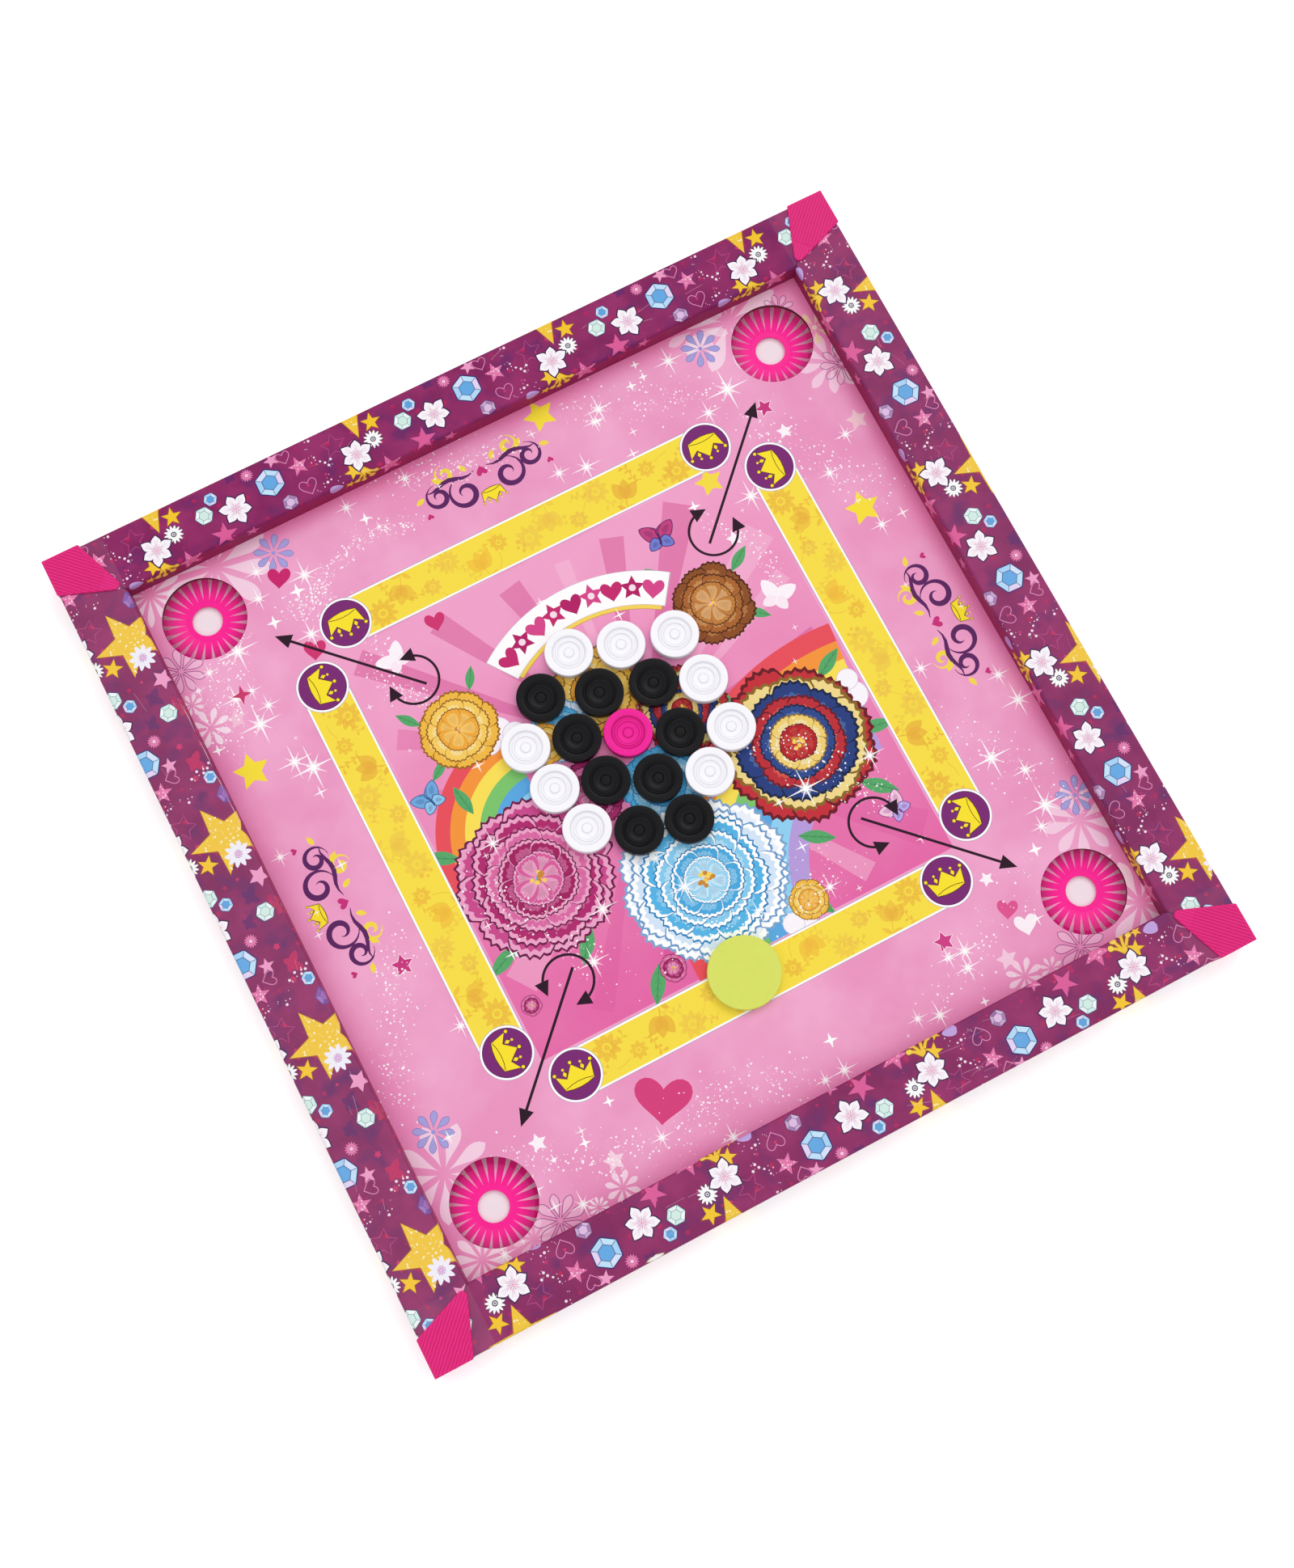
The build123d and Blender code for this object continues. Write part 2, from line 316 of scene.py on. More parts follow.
def line_ink(path, width, colour, cover=1.0, closed=False, taper=False):
    """A pen line along the path."""
    count = len(path)
    sides = []
    for k, (x, y) in enumerate(path):
        before = path[k - 1] if closed or k else path[k]
        after = path[(k + 1) % count] if closed or k < count - 1 else path[k]
        along = Vector((after[0] - before[0], after[1] - before[1])).normalized()
        half = width / 2
        if taper:
            half *= max(0.12, math.sin(math.pi * k / (count - 1)))
        sides.append([(x - along.y * half, y + along.x * half),
                      (x + along.y * half, y - along.x * half)])
    inks = []
    for k in range(count if closed else count - 1):
        (left, right), (next_left, next_right) = sides[k], sides[(k + 1) % count]
        inks += ink(round_middle([left, right, next_right, next_left]), colour, cover)
    return inks


# %% [markdown]
# The triangulation tells which outlines each triangle lies in. The last outline is the top ink.
# Inks that cover only partly let the ones below through, and whatever of the paper's ground is
# left open is kept as one minus the cover, for the material to fill with its own soft clouds.
# Triangles of the same ink are joined again, so that the mesh stays small.

# %% Cut a drawing
# A fold line runs past both ends of its strip, so that it cuts all of it.
fold_overrun = 40
fold_reach = half_side + fold_overrun


def area_of(points):
    """Twice the outline's area, negative where it runs clockwise."""
    return sum(x0 * y1 - x1 * y0 for (x0, y0), (x1, y1) in zip(points, points[1:] + points[:1]))


def anticlockwise(points):
    """The outline in the order that the triangulation fills on the inside."""
    return points if area_of(points) > 0 else points[::-1]


def cut_bmesh(drawing, outlines, folds):
    """The drawing's triangles inside the first outline, each with its inks' colour."""
    coords, edges, faces = [], [], []
    for points in outlines + [points for points, _, _ in drawing]:
        first = len(coords)
        coords += [Vector(p) for p in anticlockwise(points)]
        faces.append(list(range(first, first + len(points))))
    for y in folds:
        edges.append((len(coords), len(coords) + 1))
        coords += [Vector((-fold_reach, y)), Vector((fold_reach, y))]
    verts, _, cut, _, _, owners = delaunay_2d_cdt(coords, edges, faces, 1, 1e-5)
    first_ink = len(outlines)
    hole_ids = set(range(1, first_ink))
    bm = bmesh.new()
    layer = bm.faces.layers.float_color.new("ink")
    made = {}
    for triangle, over in zip(cut, owners):
        over = set(over)
        if 0 not in over or over & hole_ids:
            continue
        colour, open_ground = (0.0, 0.0, 0.0), 1.0
        for index in sorted(over - {0}):
            _, top, cover = drawing[index - first_ink]
            colour = [low * (1 - cover) + high * cover for low, high in zip(colour, top)]
            open_ground *= 1 - cover
        for v in triangle:
            if v not in made:
                made[v] = bm.verts.new((*verts[v], 0.0))
        bm.faces.new([made[v] for v in triangle])[layer] = (*colour, open_ground)
    return bm, layer


# %% Join what has the same ink
def printed_bmesh(drawing, outlines, folds=()):
    """A flat bmesh of the first outline without the others, which are holes, in millimetres."""
    drawing = [row for row in drawing if abs(area_of(row[0])) > 1e-3]
    bm, layer = cut_bmesh(drawing, outlines, folds)
    fine = len(bm.faces)
    joined = []
    for edge in bm.edges:
        if edge.is_boundary or edge.link_faces[0][layer] != edge.link_faces[1][layer]:
            continue
        y0, y1 = (v.co.y for v in edge.verts)
        if abs(y0 - y1) > 1e-4 or min([abs(y0 - y) for y in folds] or [1]) > 1e-3:
            joined.append(edge)
    bm.normal_update()
    bmesh.ops.dissolve_limit(bm, angle_limit=0.01, use_dissolve_boundaries=False, verts=[],
                             edges=joined, delimit=set())
    straight = []
    for vert in bm.verts:
        if len(vert.link_edges) == 2:
            one, two = (edge.other_vert(vert).co - vert.co for edge in vert.link_edges)
            if one.angle(two, 0) > math.pi - 0.01:
                straight.append(vert)
    bmesh.ops.dissolve_verts(bm, verts=straight)
    bmesh.ops.triangulate(bm, faces=bm.faces)
    print("   cut into", fine, "faces, joined to", len(bm.faces))
    return bm


# %% The back of a paper
paper_mm = 0.3


def loops_of(edges, index):
    """The closed loops that the edges form, as lists of the indices of their points."""
    follow = {}
    for edge in edges:
        a, b = (index[v] for v in edge.verts)
        follow.setdefault(a, []).append(b)
        follow.setdefault(b, []).append(a)
    loops, waiting = [], set(follow)
    while waiting:
        loop, now, before = [], min(waiting), None
        while now in waiting:
            waiting.discard(now)
            loop.append(now)
            ways = [n for n in follow[now] if n != before]
            before, now = now, ways[0]
        loops.append(loop)
    return loops


def back_of(bm, folds=()):
    """Borders the flat print and closes it below, so that it is a sheet with a thickness."""
    rim = [e for e in bm.edges if e.is_boundary]
    made = bmesh.ops.extrude_edge_only(bm, edges=rim)["geom"]
    low = [v for v in made if isinstance(v, bmesh.types.BMVert)]
    bmesh.ops.translate(bm, verts=low, vec=(0, 0, -paper_mm))
    edges = [e for e in made if isinstance(e, bmesh.types.BMEdge) and e.is_boundary]
    coords = [v.co.xy for v in low]
    loops = [loop if area_of([coords[k] for k in loop]) > 0 else loop[::-1]
             for loop in loops_of(edges, {v: k for k, v in enumerate(low)})]
    ties = []
    for y in folds:
        on_line = sorted((c.x, k) for k, c in enumerate(coords) if abs(c.y - y) < 1e-3)
        ties.append((on_line[0][1], on_line[-1][1]))
    widest = max(range(len(loops)), key=lambda k: max(coords[n].x for n in loops[k]))
    _, _, cut, origin, _, owners = delaunay_2d_cdt(coords, ties, loops, 1, 1e-6)
    for triangle, over in zip(cut, owners):
        if set(over) == {widest}:
            bm.faces.new([low[origin[v][0]] for v in triangle][::-1])
    print("   paper back:", len(low), "rim points,", len(loops), "outlines")


# %% Pieces
def object_from(bm, name, material, body="board", smooth=False):
    """An object at the origin with the bmesh as its mesh, which moves with the body."""
    mesh = bpy.data.meshes.new(name)
    bm.to_mesh(mesh)
    bm.free()
    for polygon in mesh.polygons:
        polygon.use_smooth = smooth
    mesh.materials.append(material)
    made = bpy.data.objects.new(name, mesh)
    bpy.context.scene.collection.objects.link(made)
    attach(made, body)
    return made


# %% [markdown]
# ## Printed paper
# Art paper with a varnish. The inks come from the mesh, the ground's soft clouds from noise,
# and the varnish is a coat with the faint waviness of paper that was glued down by hand.

# %% Printed paper
def printed_paper(name):
    """A varnished art paper whose colour still has to be laid."""
    material, tree, shader, place = new_material(name)
    waves = node(tree, "TexNoise", {"Vector": place, "Scale": 1 / (9 * MM), "Detail": 2.0})
    tooth = node(tree, "TexNoise", {"Vector": place, "Scale": 1 / (0.8 * MM), "Detail": 2.0})
    height = node(tree, "Math", [tooth, 0.12, waves], operation="MULTIPLY_ADD")
    bump = node(tree, "Bump", {"Height": height, "Strength": 0.25, "Distance": 0.12 * MM})
    plug(shader, {"Roughness": 0.5, "Specular IOR Level": 0.1, "Normal": bump})
    return material, tree, shader, place


def lay_inks(tree, ground):
    """The ink colours, and the ground wherever no ink covers it."""
    inks = node(tree, "Attribute", attribute_name="ink").node.outputs
    ground = node(tree, "VectorMath", {0: ground, "Scale": inks["Alpha"]}, operation="SCALE")
    return node(tree, "VectorMath", [inks["Color"], ground], operation="ADD")


# %% Playing sheet paper
# Pink all over, with pale clouds; inside the playing lines it deepens towards the near side.
print_centre, inner_ground = (2.4, 0.7), 131.0
sheet_paper, tree, shader, place = printed_paper("varnished_art_paper_sheet")
x, y, _ = node(tree, "SeparateXYZ", [place]).node.outputs
ways = []
for way, middle in zip((x, y), print_centre):
    way = node(tree, "Math", [way, middle * MM], operation="SUBTRACT")
    ways.append(node(tree, "Math", [way], operation="ABSOLUTE"))
reach = node(tree, "Math", ways, operation="MAXIMUM")
inside = node(tree, "Math", [reach, inner_ground * MM], operation="LESS_THAN")
clouds = node(tree, "TexNoise", {"Vector": place, "Scale": 1 / (45 * MM), "Detail": 3.0})
height = node(tree, "MapRange", [y, -0.13, 0.13])
tilt = node(tree, "Math", [clouds, 0.5, height], operation="MULTIPLY_ADD")
tilt = node(tree, "MapRange", [tilt, 0.25, 1.2])
inner = node(tree, "Mix", {0: tilt, 6: rgba("E467A6"), 7: rgba("F1A2CA")}, 2, data_type="RGBA")
spread = node(tree, "MapRange", [clouds, 0.35, 0.65])
outer = node(tree, "Mix", {0: spread, 6: rgba("EA95C0"), 7: rgba("F2A9CF")}, 2, data_type="RGBA")
ground = node(tree, "Mix", {0: inside, 6: outer, 7: inner}, 2, data_type="RGBA")
# A deeper pink, a painted shade of the walls on the sheet, frames the print along the rails.
# Beside the back and right rails a redder pink is painted in as the red light reflected from
# the lit walls.
beside = node(tree, "Math", [x, y], operation="MAXIMUM")
for way, start, most, colour in ((reach, 203, 0.4, "E86FB2"), (beside, 207, 0.42, "FF72B5")):
    share = node(tree, "MapRange", [way, start * MM, 219 * MM, 0.0, most])
    ground = node(tree, "Mix", {0: share, 6: ground, 7: rgba(colour)}, 2, data_type="RGBA")
plug(shader, {"Base Color": lay_inks(tree, ground)})
print("paper:", sheet_paper.name)

# %% Rail wrap paper
# Plum with darker violet and redder clouds, as on a gift-wrap print. Down the sides a redder,
# less blue tone is painted in: painted reflected light from the sheet, and painted shade where
# the sides see less of the sky.
wrap_paper, tree, shader, place = printed_paper("varnished_art_paper_wrap")
ways = node(tree, "SeparateXYZ", [place]).node.outputs
clouds = node(tree, "TexNoise", {"Vector": place, "Scale": 1 / (26 * MM), "Detail": 3.0})
patches = node(tree, "TexNoise", {"Vector": place, "Scale": 1 / (14 * MM), "Detail": 2.0})
tone = rgba("801F5A")
for level, low, high, most, colour in (
    (clouds, 0.35, 0.65, 1.0, "972E69"), (patches, 0.52, 0.72, 1.0, "6C2765"),
    # Painted reflected light and shade: redder and less blue lower down the sides.
    (ways["Z"], 23.4 * MM, 21.6 * MM, 0.6, "9E2553"),
):
    share = node(tree, "MapRange", [level, low, high, 0.0, most])
    tone = node(tree, "Mix", {0: share, 6: tone, 7: rgba(colour)}, 2, data_type="RGBA")
# The strips were varnished one by one, so they don't all mirror as much of the light overhead.
varnish = 0.1
for axis, side, more in (("X", 1, 0.16), ("X", -1, 0.28), ("Y", -1, 0.14)):
    signed = node(tree, "Math", [ways[axis], side], operation="MULTIPLY")
    strip = node(tree, "Math", [signed, inner_half * MM], operation="GREATER_THAN")
    varnish = node(tree, "Math", [strip, more, varnish], operation="MULTIPLY_ADD")
plug(shader, {"Base Color": lay_inks(tree, tone), "Specular IOR Level": varnish})
print("paper:", wrap_paper.name)

# %% [markdown]
# ## Motifs of the rails' paper
# The paper is a common gift-wrap kind of print that repeats: cut gems, white blossoms, daisies,
# gold and pink stars, pen-line hearts and strewn dots. Each motif is drawn round its own middle.

# %% Gems and hearts
def gem(radius, table, facets, turn=0.0, edge="2E2A6B"):
    """A cut gem seen from above: a table with six facets round it."""
    motif = ink(ring_of(6, radius, turn), edge)
    outer, inner = ring_of(6, radius * 0.92, turn), ring_of(6, radius * 0.52, turn)
    pairs = [(k, (k + 1) % 6) for k in range(6)]
    for k, n in pairs:
        motif += ink([outer[k], outer[n], inner[n], inner[k]], facets[k % len(facets)])
    motif += ink(inner, table)
    for k, n in pairs:
        motif += line_ink([inner[k], inner[n]], radius * 0.05, edge, 0.75)
        motif += line_ink([inner[k], outer[k]], radius * 0.05, edge, 0.7)
    return motif


def pen_heart(width):
    return line_ink(heart_outline(width), 0.45, "E58FBF", 0.9, closed=True)


# %% Stars
def star(radius, fill, edge=None, waist=0.42, turn=90.0, rim=0.72):
    border = ink(star_outline(radius + rim, waist * 1.04, turn=turn), edge) if edge else []
    return border + ink(star_outline(radius, waist, turn=turn), fill)


def inside_outline(point, points):
    """Whether the point lies in the closed outline."""
    x, y = point
    hit = False
    for k, (x1, y1) in enumerate(points):
        x0, y0 = points[k - 1]
        if (y0 > y) != (y1 > y) and x < (x1 - x0) * (y - y0) / (y1 - y0) + x0:
            hit = not hit
    return hit


def glitter_star(radius, fill, edge, speck, count, seed, turn):
    """A star strewn with small light specks."""
    draw = random.Random(seed)
    outline = star_outline(radius, 0.42, turn=turn)
    motif = star(radius, fill, edge, turn=turn)
    while count:
        spot = (draw.uniform(-radius, radius), draw.uniform(-radius, radius))
        if inside_outline(spot, outline):
            size = min(radius * 0.07, draw.choice((0.24, 0.32, 0.32, 0.6)))
            motif += dot(size, speck, spot, draw.uniform(0.6, 1.0), 6)
            count -= 1
    return motif


# %% Blossoms and daisies
def blossom(radius, turn, rim=0.55):
    """A white blossom with six pointed petals, pink veins and a dark rim."""
    petals = [(turn + 60.0 * k, 1.07 - 0.1 * (k % 2)) for k in range(6)]
    motif = []
    for a, size in petals:
        shape = bud_outline(radius * size + 1.8 * rim, radius * 0.6 + 2 * rim)
        motif += ink(shape, "43204F", turn=a)
    for a, size in petals:
        motif += ink(bud_outline(radius * size, radius * 0.6), "FBF5FB", turn=a)
        blush = petal_outline(radius * 0.5, radius * 0.24, tip=0.9, steps=3)
        motif += ink(blush, "F6C3DC", 0.35, turn=a)
        for bend in (-9, 0, 9):
            vein = [(radius * 0.15, 0), (radius * 0.72 * size, radius * 0.006 * bend)]
            motif += line_ink(moved(vein, turn=a + bend * 0.6), 0.22, "C995BC", 0.6)
    return motif + dot(radius * 0.08, "F0A0C6", cover=0.7)


def daisy(radius, petals, fill, edge, eye, eye_edge, turn=0.0, rim=0.3):
    width = 2 * math.pi * radius * 0.6 / petals
    motif = []
    if edge:
        shape = petal_outline(radius + rim, width + 2 * rim, radius * 0.2, 0.1, 4)
        motif += wheel(ink(shape, edge), petals, turn)
    motif += wheel(ink(petal_outline(radius, width, radius * 0.25, 0.1, 4), fill), petals, turn)
    for share, colour, sides in ((0.27, eye_edge, 12), (0.19, eye, 12), (0.08, eye_edge, 8)):
        motif += dot(radius * share, colour, sides=sides)
    return motif


# %% Butterflies
def butterfly(size, wing, lower, edge, body, cover=1.0):
    """Two pairs of wings and a slim body, its head towards +Y."""
    motif = []
    for side in (-1, 1):
        for length, width, angle, fill in (
            (size * 0.62, size * 0.4, 42, wing), (size * 0.42, size * 0.32, -38, lower),
        ):
            a = angle if side > 0 else 180 - angle
            if edge:
                rim = petal_outline(length + size * 0.03, width + size * 0.05, tip=0.0)
                motif += ink(rim, edge, cover, turn=a)
            motif += ink(petal_outline(length, width, size * 0.03, 0.0), fill, cover, turn=a)
            if edge:
                spot = petal_outline(length * 0.8, width * 0.4, length * 0.3, 0.3, 3)
                motif += ink(spot, edge, cover * 0.35, turn=a)
        feeler = [(side * size * x, size * y) for x, y in ((0, 0.18), (0.08, 0.3), (0.16, 0.36))]
        motif += line_ink(feeler, size * 0.02, body, cover)
    trunk = petal_outline(size * 0.45, size * 0.07, tip=0.3, steps=3)
    return motif + ink(trunk, body, cover, (0, -size * 0.2), 90)


# %% Strewn dots
def strewn(path, count, spread, sizes, colour, seed, cover=0.9):
    """Small dots scattered along a path, thinning out to its sides."""
    draw = random.Random(seed)
    motif = []
    for _ in range(count):
        where = draw.uniform(0, len(path) - 1.001)
        k = int(where)
        share = where - k
        at = [a * (1 - share) + b * share + draw.gauss(0, spread)
              for a, b in zip(path[k], path[k + 1])]
        sides = draw.choice((6, 7))
        shape = ring_of(sides, draw.choice(sizes), draw.uniform(0, 90))
        motif += ink(shape, colour, cover, at)
    return motif


def gold_sprig():
    """A forked twig with knobs, brown below and gold on top."""
    motif = []
    for width, rim, line, knob in ((2.8, 0.9, "8E4F22", "8E4F22"), (1.6, 0.4, "F2C53C", "F6D258")):
        for x, y, size in ((-6.0, -5.5, 1.5), (-2.0, -7.5, 1.3), (3.5, -6.0, 1.6), (6.5, -2.5, 1.3)):
            motif += line_ink([(0, 3), (x * 0.5, y * 0.3), (x, y)], width, line)
            motif += dot(size + rim, knob, (x, y))
    return motif


# %% [markdown]
# ### One repeat of the rails' paper
# The places are in millimetres along the rail and out from its top's outer edge. They were set
# against the photograph. The same sheet was cut for all four rails, but each strip was
# glued a little differently: one is turned end for end and two lie slightly askew.

# %% One repeat
repeat_length = 127.5
blue_facets = ("D5E2FA", "A9D2F5", "C4E4FA", "B4D8F6", "E4D3F3", "BFE0F9")
mint_facets = ("EAF6F6", "D3EDEA", "F4FAFB", "DDF1EE")
lilac_facets = ("C6A6CE", "A97DB0", "D2B4D8", "9C6CA4")
repeat_motifs = [
    (line_ink(star_outline(7.6, 0.48, turn=82), 0.55, "C24E8C", 0.75, closed=True), (51.3, -11.7)),
    (glitter_star(21.3, "F1C63C", "A8692C", "FFF6D2", 90, 3, 270), (66.7, 7.5)),
    (star(5.9, "F4C62C", "9A5A24", turn=78), (76.9, -8.4)),
    (daisy(5.8, 13, "FBFAFB", "2E1B33", "D9D9E2", "2E1B33", 5), (73.6, -18.6)),
    (glitter_star(8.6, "E06AA0", "A53C78", "F7C9DD", 26, 5, 95), (75.6, -39.5)),
    (gold_sprig(), (60.6, -35.0)),
    (star(5.2, "F3C735", "9A5A24", turn=100), (54.7, -31.4)),
    (blossom(9.4, 12), (60.9, -23.0)),
    (ink(petal_outline(9.0, 7.0, tip=0.0), "BFA0DC", 1.0, (-4.5, 0)), (41.7, -37.8)),
    (star(3.4, "F0C040", "9A5A24", turn=64), (50.0, -40.0)),
    (gem(5.9, "D3ECE4", mint_facets, 0, "39506E"), (93.8, -16.4)),
    (gem(4.4, "5FA3DE", blue_facets, 0), (101.2, -8.9)),
    (star(8.0, "DB5C98", turn=76, waist=0.4), (99.8, -32.4)),
    (blossom(9.4, 40), (112.0, -21.0)),
    (glitter_star(4.8, "DE6AA2", None, "F3C0D8", 8, 9, 70), (115.0, -40.0)),
    (daisy(3.9, 14, "E27BAE", None, "FBE3EF", "E9A7C9"), (126.0, -5.3)),
    (gem(9.3, "64A8E2", blue_facets, 88), (8.7, -15.4)),
    (gem(5.2, "DDBBE2", lilac_facets, 80, "4C2C56"), (14.3, -31.8)),
    (star(4.7, "EE9CC6", turn=100), (15.1, -3.4)),
    (pen_heart(8.2), (21.9, -4.8)),
    (glitter_star(6.3, "E273A9", None, "FBD9E8", 22, 11, 92), (27.8, -13.8)),
    (pen_heart(10.4), (27.8, -27.4)),
    (daisy(8.0, 10, "F1EEFA", None, "D9A9D6", "E4C9EA", 8), (78.4, 9.4)),
    (gem(6.0, "9B6BB5", ("8A5BA8", "A377BC", "7C4F9B"), 20, "6B4390"), (43.9, 18.6)),
    (gem(4.3, "5FA3DE", blue_facets, 6), (31.5, 14.2)),
    (gem(5.8, "D3ECE4", mint_facets, 90, "39506E"), (114.7, 8.9)),
    (star(6.4, "EE9CC6", turn=282, waist=0.5), (95.0, 14.4)),
    (daisy(7.0, 7, "B2325F", None, "D8688C", "8A2450"), (115.0, 20.0)),
    (butterfly(9.0, "5C2468", "5C2468", None, "5C2468", 0.7), (116.4, -2.4)),
    (butterfly(11.0, "5C2468", "5C2468", None, "5C2468", 0.7), (103.2, 4.4)),
    (butterfly(12.0, "C42C62", "C42C62", None, "C42C62", 0.8), (20.0, 9.4)),
]
for path, count, spread_mm, seed in (
    ([(38, -1), (34, -9), (37, -14)], 10, 1.5, 20), ([(36, -13), (44, -19), (42, -28)], 12, 1.9, 21),
    ([(31, -34), (38, -30), (47, -31)], 10, 1.7, 22), ([(23, 16), (30, 8), (28, 2)], 12, 2.2, 23),
):
    dots = strewn(path, count, spread_mm, (0.22, 0.28, 0.38, 0.6, 0.85), "FBE8F4", seed)
    repeat_motifs.append((dots, (0, 0)))
print(len(repeat_motifs), "motifs in one repeat of the rails' paper")

# %% Splashes below them
draw = random.Random(7)
splats = []
for _ in range(80):
    spot = (draw.uniform(0, repeat_length), draw.uniform(-50, 30))
    size = draw.choice((0.7, 1.1, 1.6, 2.2))
    colour = draw.choice(("CF2460", "D8356E", "BE1F56"))
    shape = star_outline(size, 0.6, 5, draw.uniform(0, 72))
    splats.append((ink(shape, colour, draw.uniform(0.5, 0.85)), spot))
print(len(splats), "red splashes")

# %% [markdown]
# ### Wrapping a rail
# The strip is drawn flat, from the foot of the inner wall over the top to the foot of the outer
# side. Fold lines are cut across it where the edges are rounded, and each point then moves to
# its place on the rail's section. A border round the strip gives the paper its thickness.

# %% The rail's section
edge_radius, hem, arc_steps = 1.8, 1.0, 5
foot_out = rail_top_z - hem
foot_in = -rail_width - (rail_top_z - surface_z)
fold_lines = [corner + edge_radius * (1 - 2 * k / arc_steps)
              for corner in (0.0, -rail_width) for k in range(arc_steps + 1)]


def on_rail(y, depth=0.0):
    """How far out and up, in millimetres, the drawing's height y lies on the rail."""
    soft = edge_radius - depth
    if y > edge_radius:
        return half_side - depth, rail_top_z - y
    if y > -edge_radius:
        a = (edge_radius - y) / edge_radius * math.pi / 4
        return (half_side - edge_radius + soft * math.cos(a),
                rail_top_z - edge_radius + soft * math.sin(a))
    if y > edge_radius - rail_width:
        return half_side + y, rail_top_z - depth
    if y > -edge_radius - rail_width:
        a = (edge_radius + rail_width + y) / edge_radius * math.pi / 4
        return (inner_half + edge_radius - soft * math.cos(a),
                rail_top_z - edge_radius + soft * math.sin(a))
    return inner_half + depth, rail_top_z + rail_width + y


print("strip width:", round(foot_out - foot_in, 2), "mm")


# %% How each strip was glued
def slipped(shift, still, slope):
    """A strip that was glued shift further along and turned a little about the place still."""
    def place_motif(s, y):
        s += shift
        return (s - half_side, y + slope * (s - still)), math.degrees(math.atan(slope))
    return place_motif


turned_along, turned_out = 126.7, -17.6


def turned(s, y):
    """The strip that was glued end for end."""
    return (turned_along - s + 3 * repeat_length - half_side, turned_out - y), 180


def rail_drawing(place_motif, margin=22):
    """The repeat laid along the strip; place_motif turns a repeat's place into the strip's."""
    drawing = []
    for motifs in (splats, repeat_motifs):
        for repeat in range(-1, 6):
            for motif, (s, y) in motifs:
                at, turn = place_motif(s + repeat * repeat_length, y)
                if abs(at[0]) < half_side + margin and foot_in - margin < at[1] < foot_out + margin:
                    drawing += placed(motif, at, turn)
    return drawing


# %% Wear
# Play and handling leave scratches along the tops, a dark line where two papers meet at the
# mitre, and on the front rail one place where the paper is torn from its outer edge. Broken pale
# lines along the left rail's inner fold are a painted highlight of its rounded edge.
def scratches(seed, low, high, count):
    """Short faint lines, most of them along the rail."""
    draw = random.Random(seed)
    marks = []
    for _ in range(count):
        x, y = draw.uniform(low, high), draw.uniform(-33, -3)
        long, lean = draw.uniform(3, 14), draw.gauss(0, 0.22)
        width = draw.uniform(0.1, 0.22)
        marks += line_ink([(x, y), (x + long, y + long * lean)], width, "EFC3DD",
                          draw.uniform(0.25, 0.6))
    return marks


def torn_edge():
    """Layers of torn paper, brown and then white, on the rounded outer edge."""
    draw = random.Random(17)
    marks = []
    for grow, colour in ((1.0, "8C5F4E"), (0.84, "F3E9E4"), (0.5, "FFFCFA")):
        shape = [(6.4 * grow * math.cos(a) * draw.uniform(0.88, 1.06),
                  2.0 * grow * math.sin(a) * draw.uniform(0.7, 1.1))
                 for a in (2 * math.pi * k / 18 for k in range(18))]
        marks += ink(shape, colour, 0.95)
    return marks


mitre_lines, painted_fold_highlight = [], []
for side in (-1, 1):
    ends = [(side * (half_side + y), y) for y in (-rail_width - 0.5, -rail_width / 2)]
    mitre_lines += line_ink(ends, 0.7, "3A0D2C", 0.75)
# Painted highlight: broken pale lines along the left rail's rounded inner fold.
for start, end in ((64, 82), (86, 96), (101, 119), (124, 142)):
    bend = [(start, 0.5), ((start + end) / 2, 0.1), (end, 0.6)]
    painted_fold_highlight += line_ink([(x, y - rail_width) for x, y in bend], 0.6, "F3D9E6", 0.75, taper=True)
print(len(mitre_lines), "mitre lines,", len(painted_fold_highlight), "pieces of painted highlight")

# %% Fold the paper round the rails
rails = {
    "back": (0, slipped(0.0, 0.0, 0.0), scratches(3, -180, 180, 9)),
    "left": (90, turned, scratches(4, -180, 180, 10) + painted_fold_highlight),
    "front": (180, slipped(7.1, 400.0, -0.0163), scratches(5, -112, -74, 12)
              + scratches(6, -180, 180, 7) + placed(torn_edge(), (122.0, -0.6))),
    "right": (270, slipped(-1.0, 103.0, -0.0156), scratches(8, -180, 180, 9)),
}
ends = [foot_out] + fold_lines + [foot_in]
strip = [(on_rail(y)[0], y) for y in ends] + [(-on_rail(y)[0], y) for y in reversed(ends)]
for name, (turn, place_motif, wear) in rails.items():
    bm = printed_bmesh(rail_drawing(place_motif) + wear + mitre_lines, [strip], fold_lines)
    back_of(bm, fold_lines)
    spin = Matrix.Rotation(math.radians(turn), 3, "Z")
    for v in bm.verts:
        out, up = on_rail(v.co.y, -v.co.z)
        v.co = spin @ Vector((v.co.x * out / on_rail(v.co.y)[0], out, up)) * MM
    print("rail wrap", name, "has", len(bm.faces), "faces")
    piece = object_from(bm, "wrap_" + name, wrap_paper)
    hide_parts("rail_wrap_" + name)

# %% [markdown]
# ## The playing sheet's drawing
# The lines of a carrom board are traditional: four bands for placing the striker, each between
# two base circles, and a diagonal arrow with a curled foul line in each corner. On this board
# the bands are yellow, the base circles are purple with a small crown, and the field round them
# is pink with stars, hearts, butterflies and twinkles.

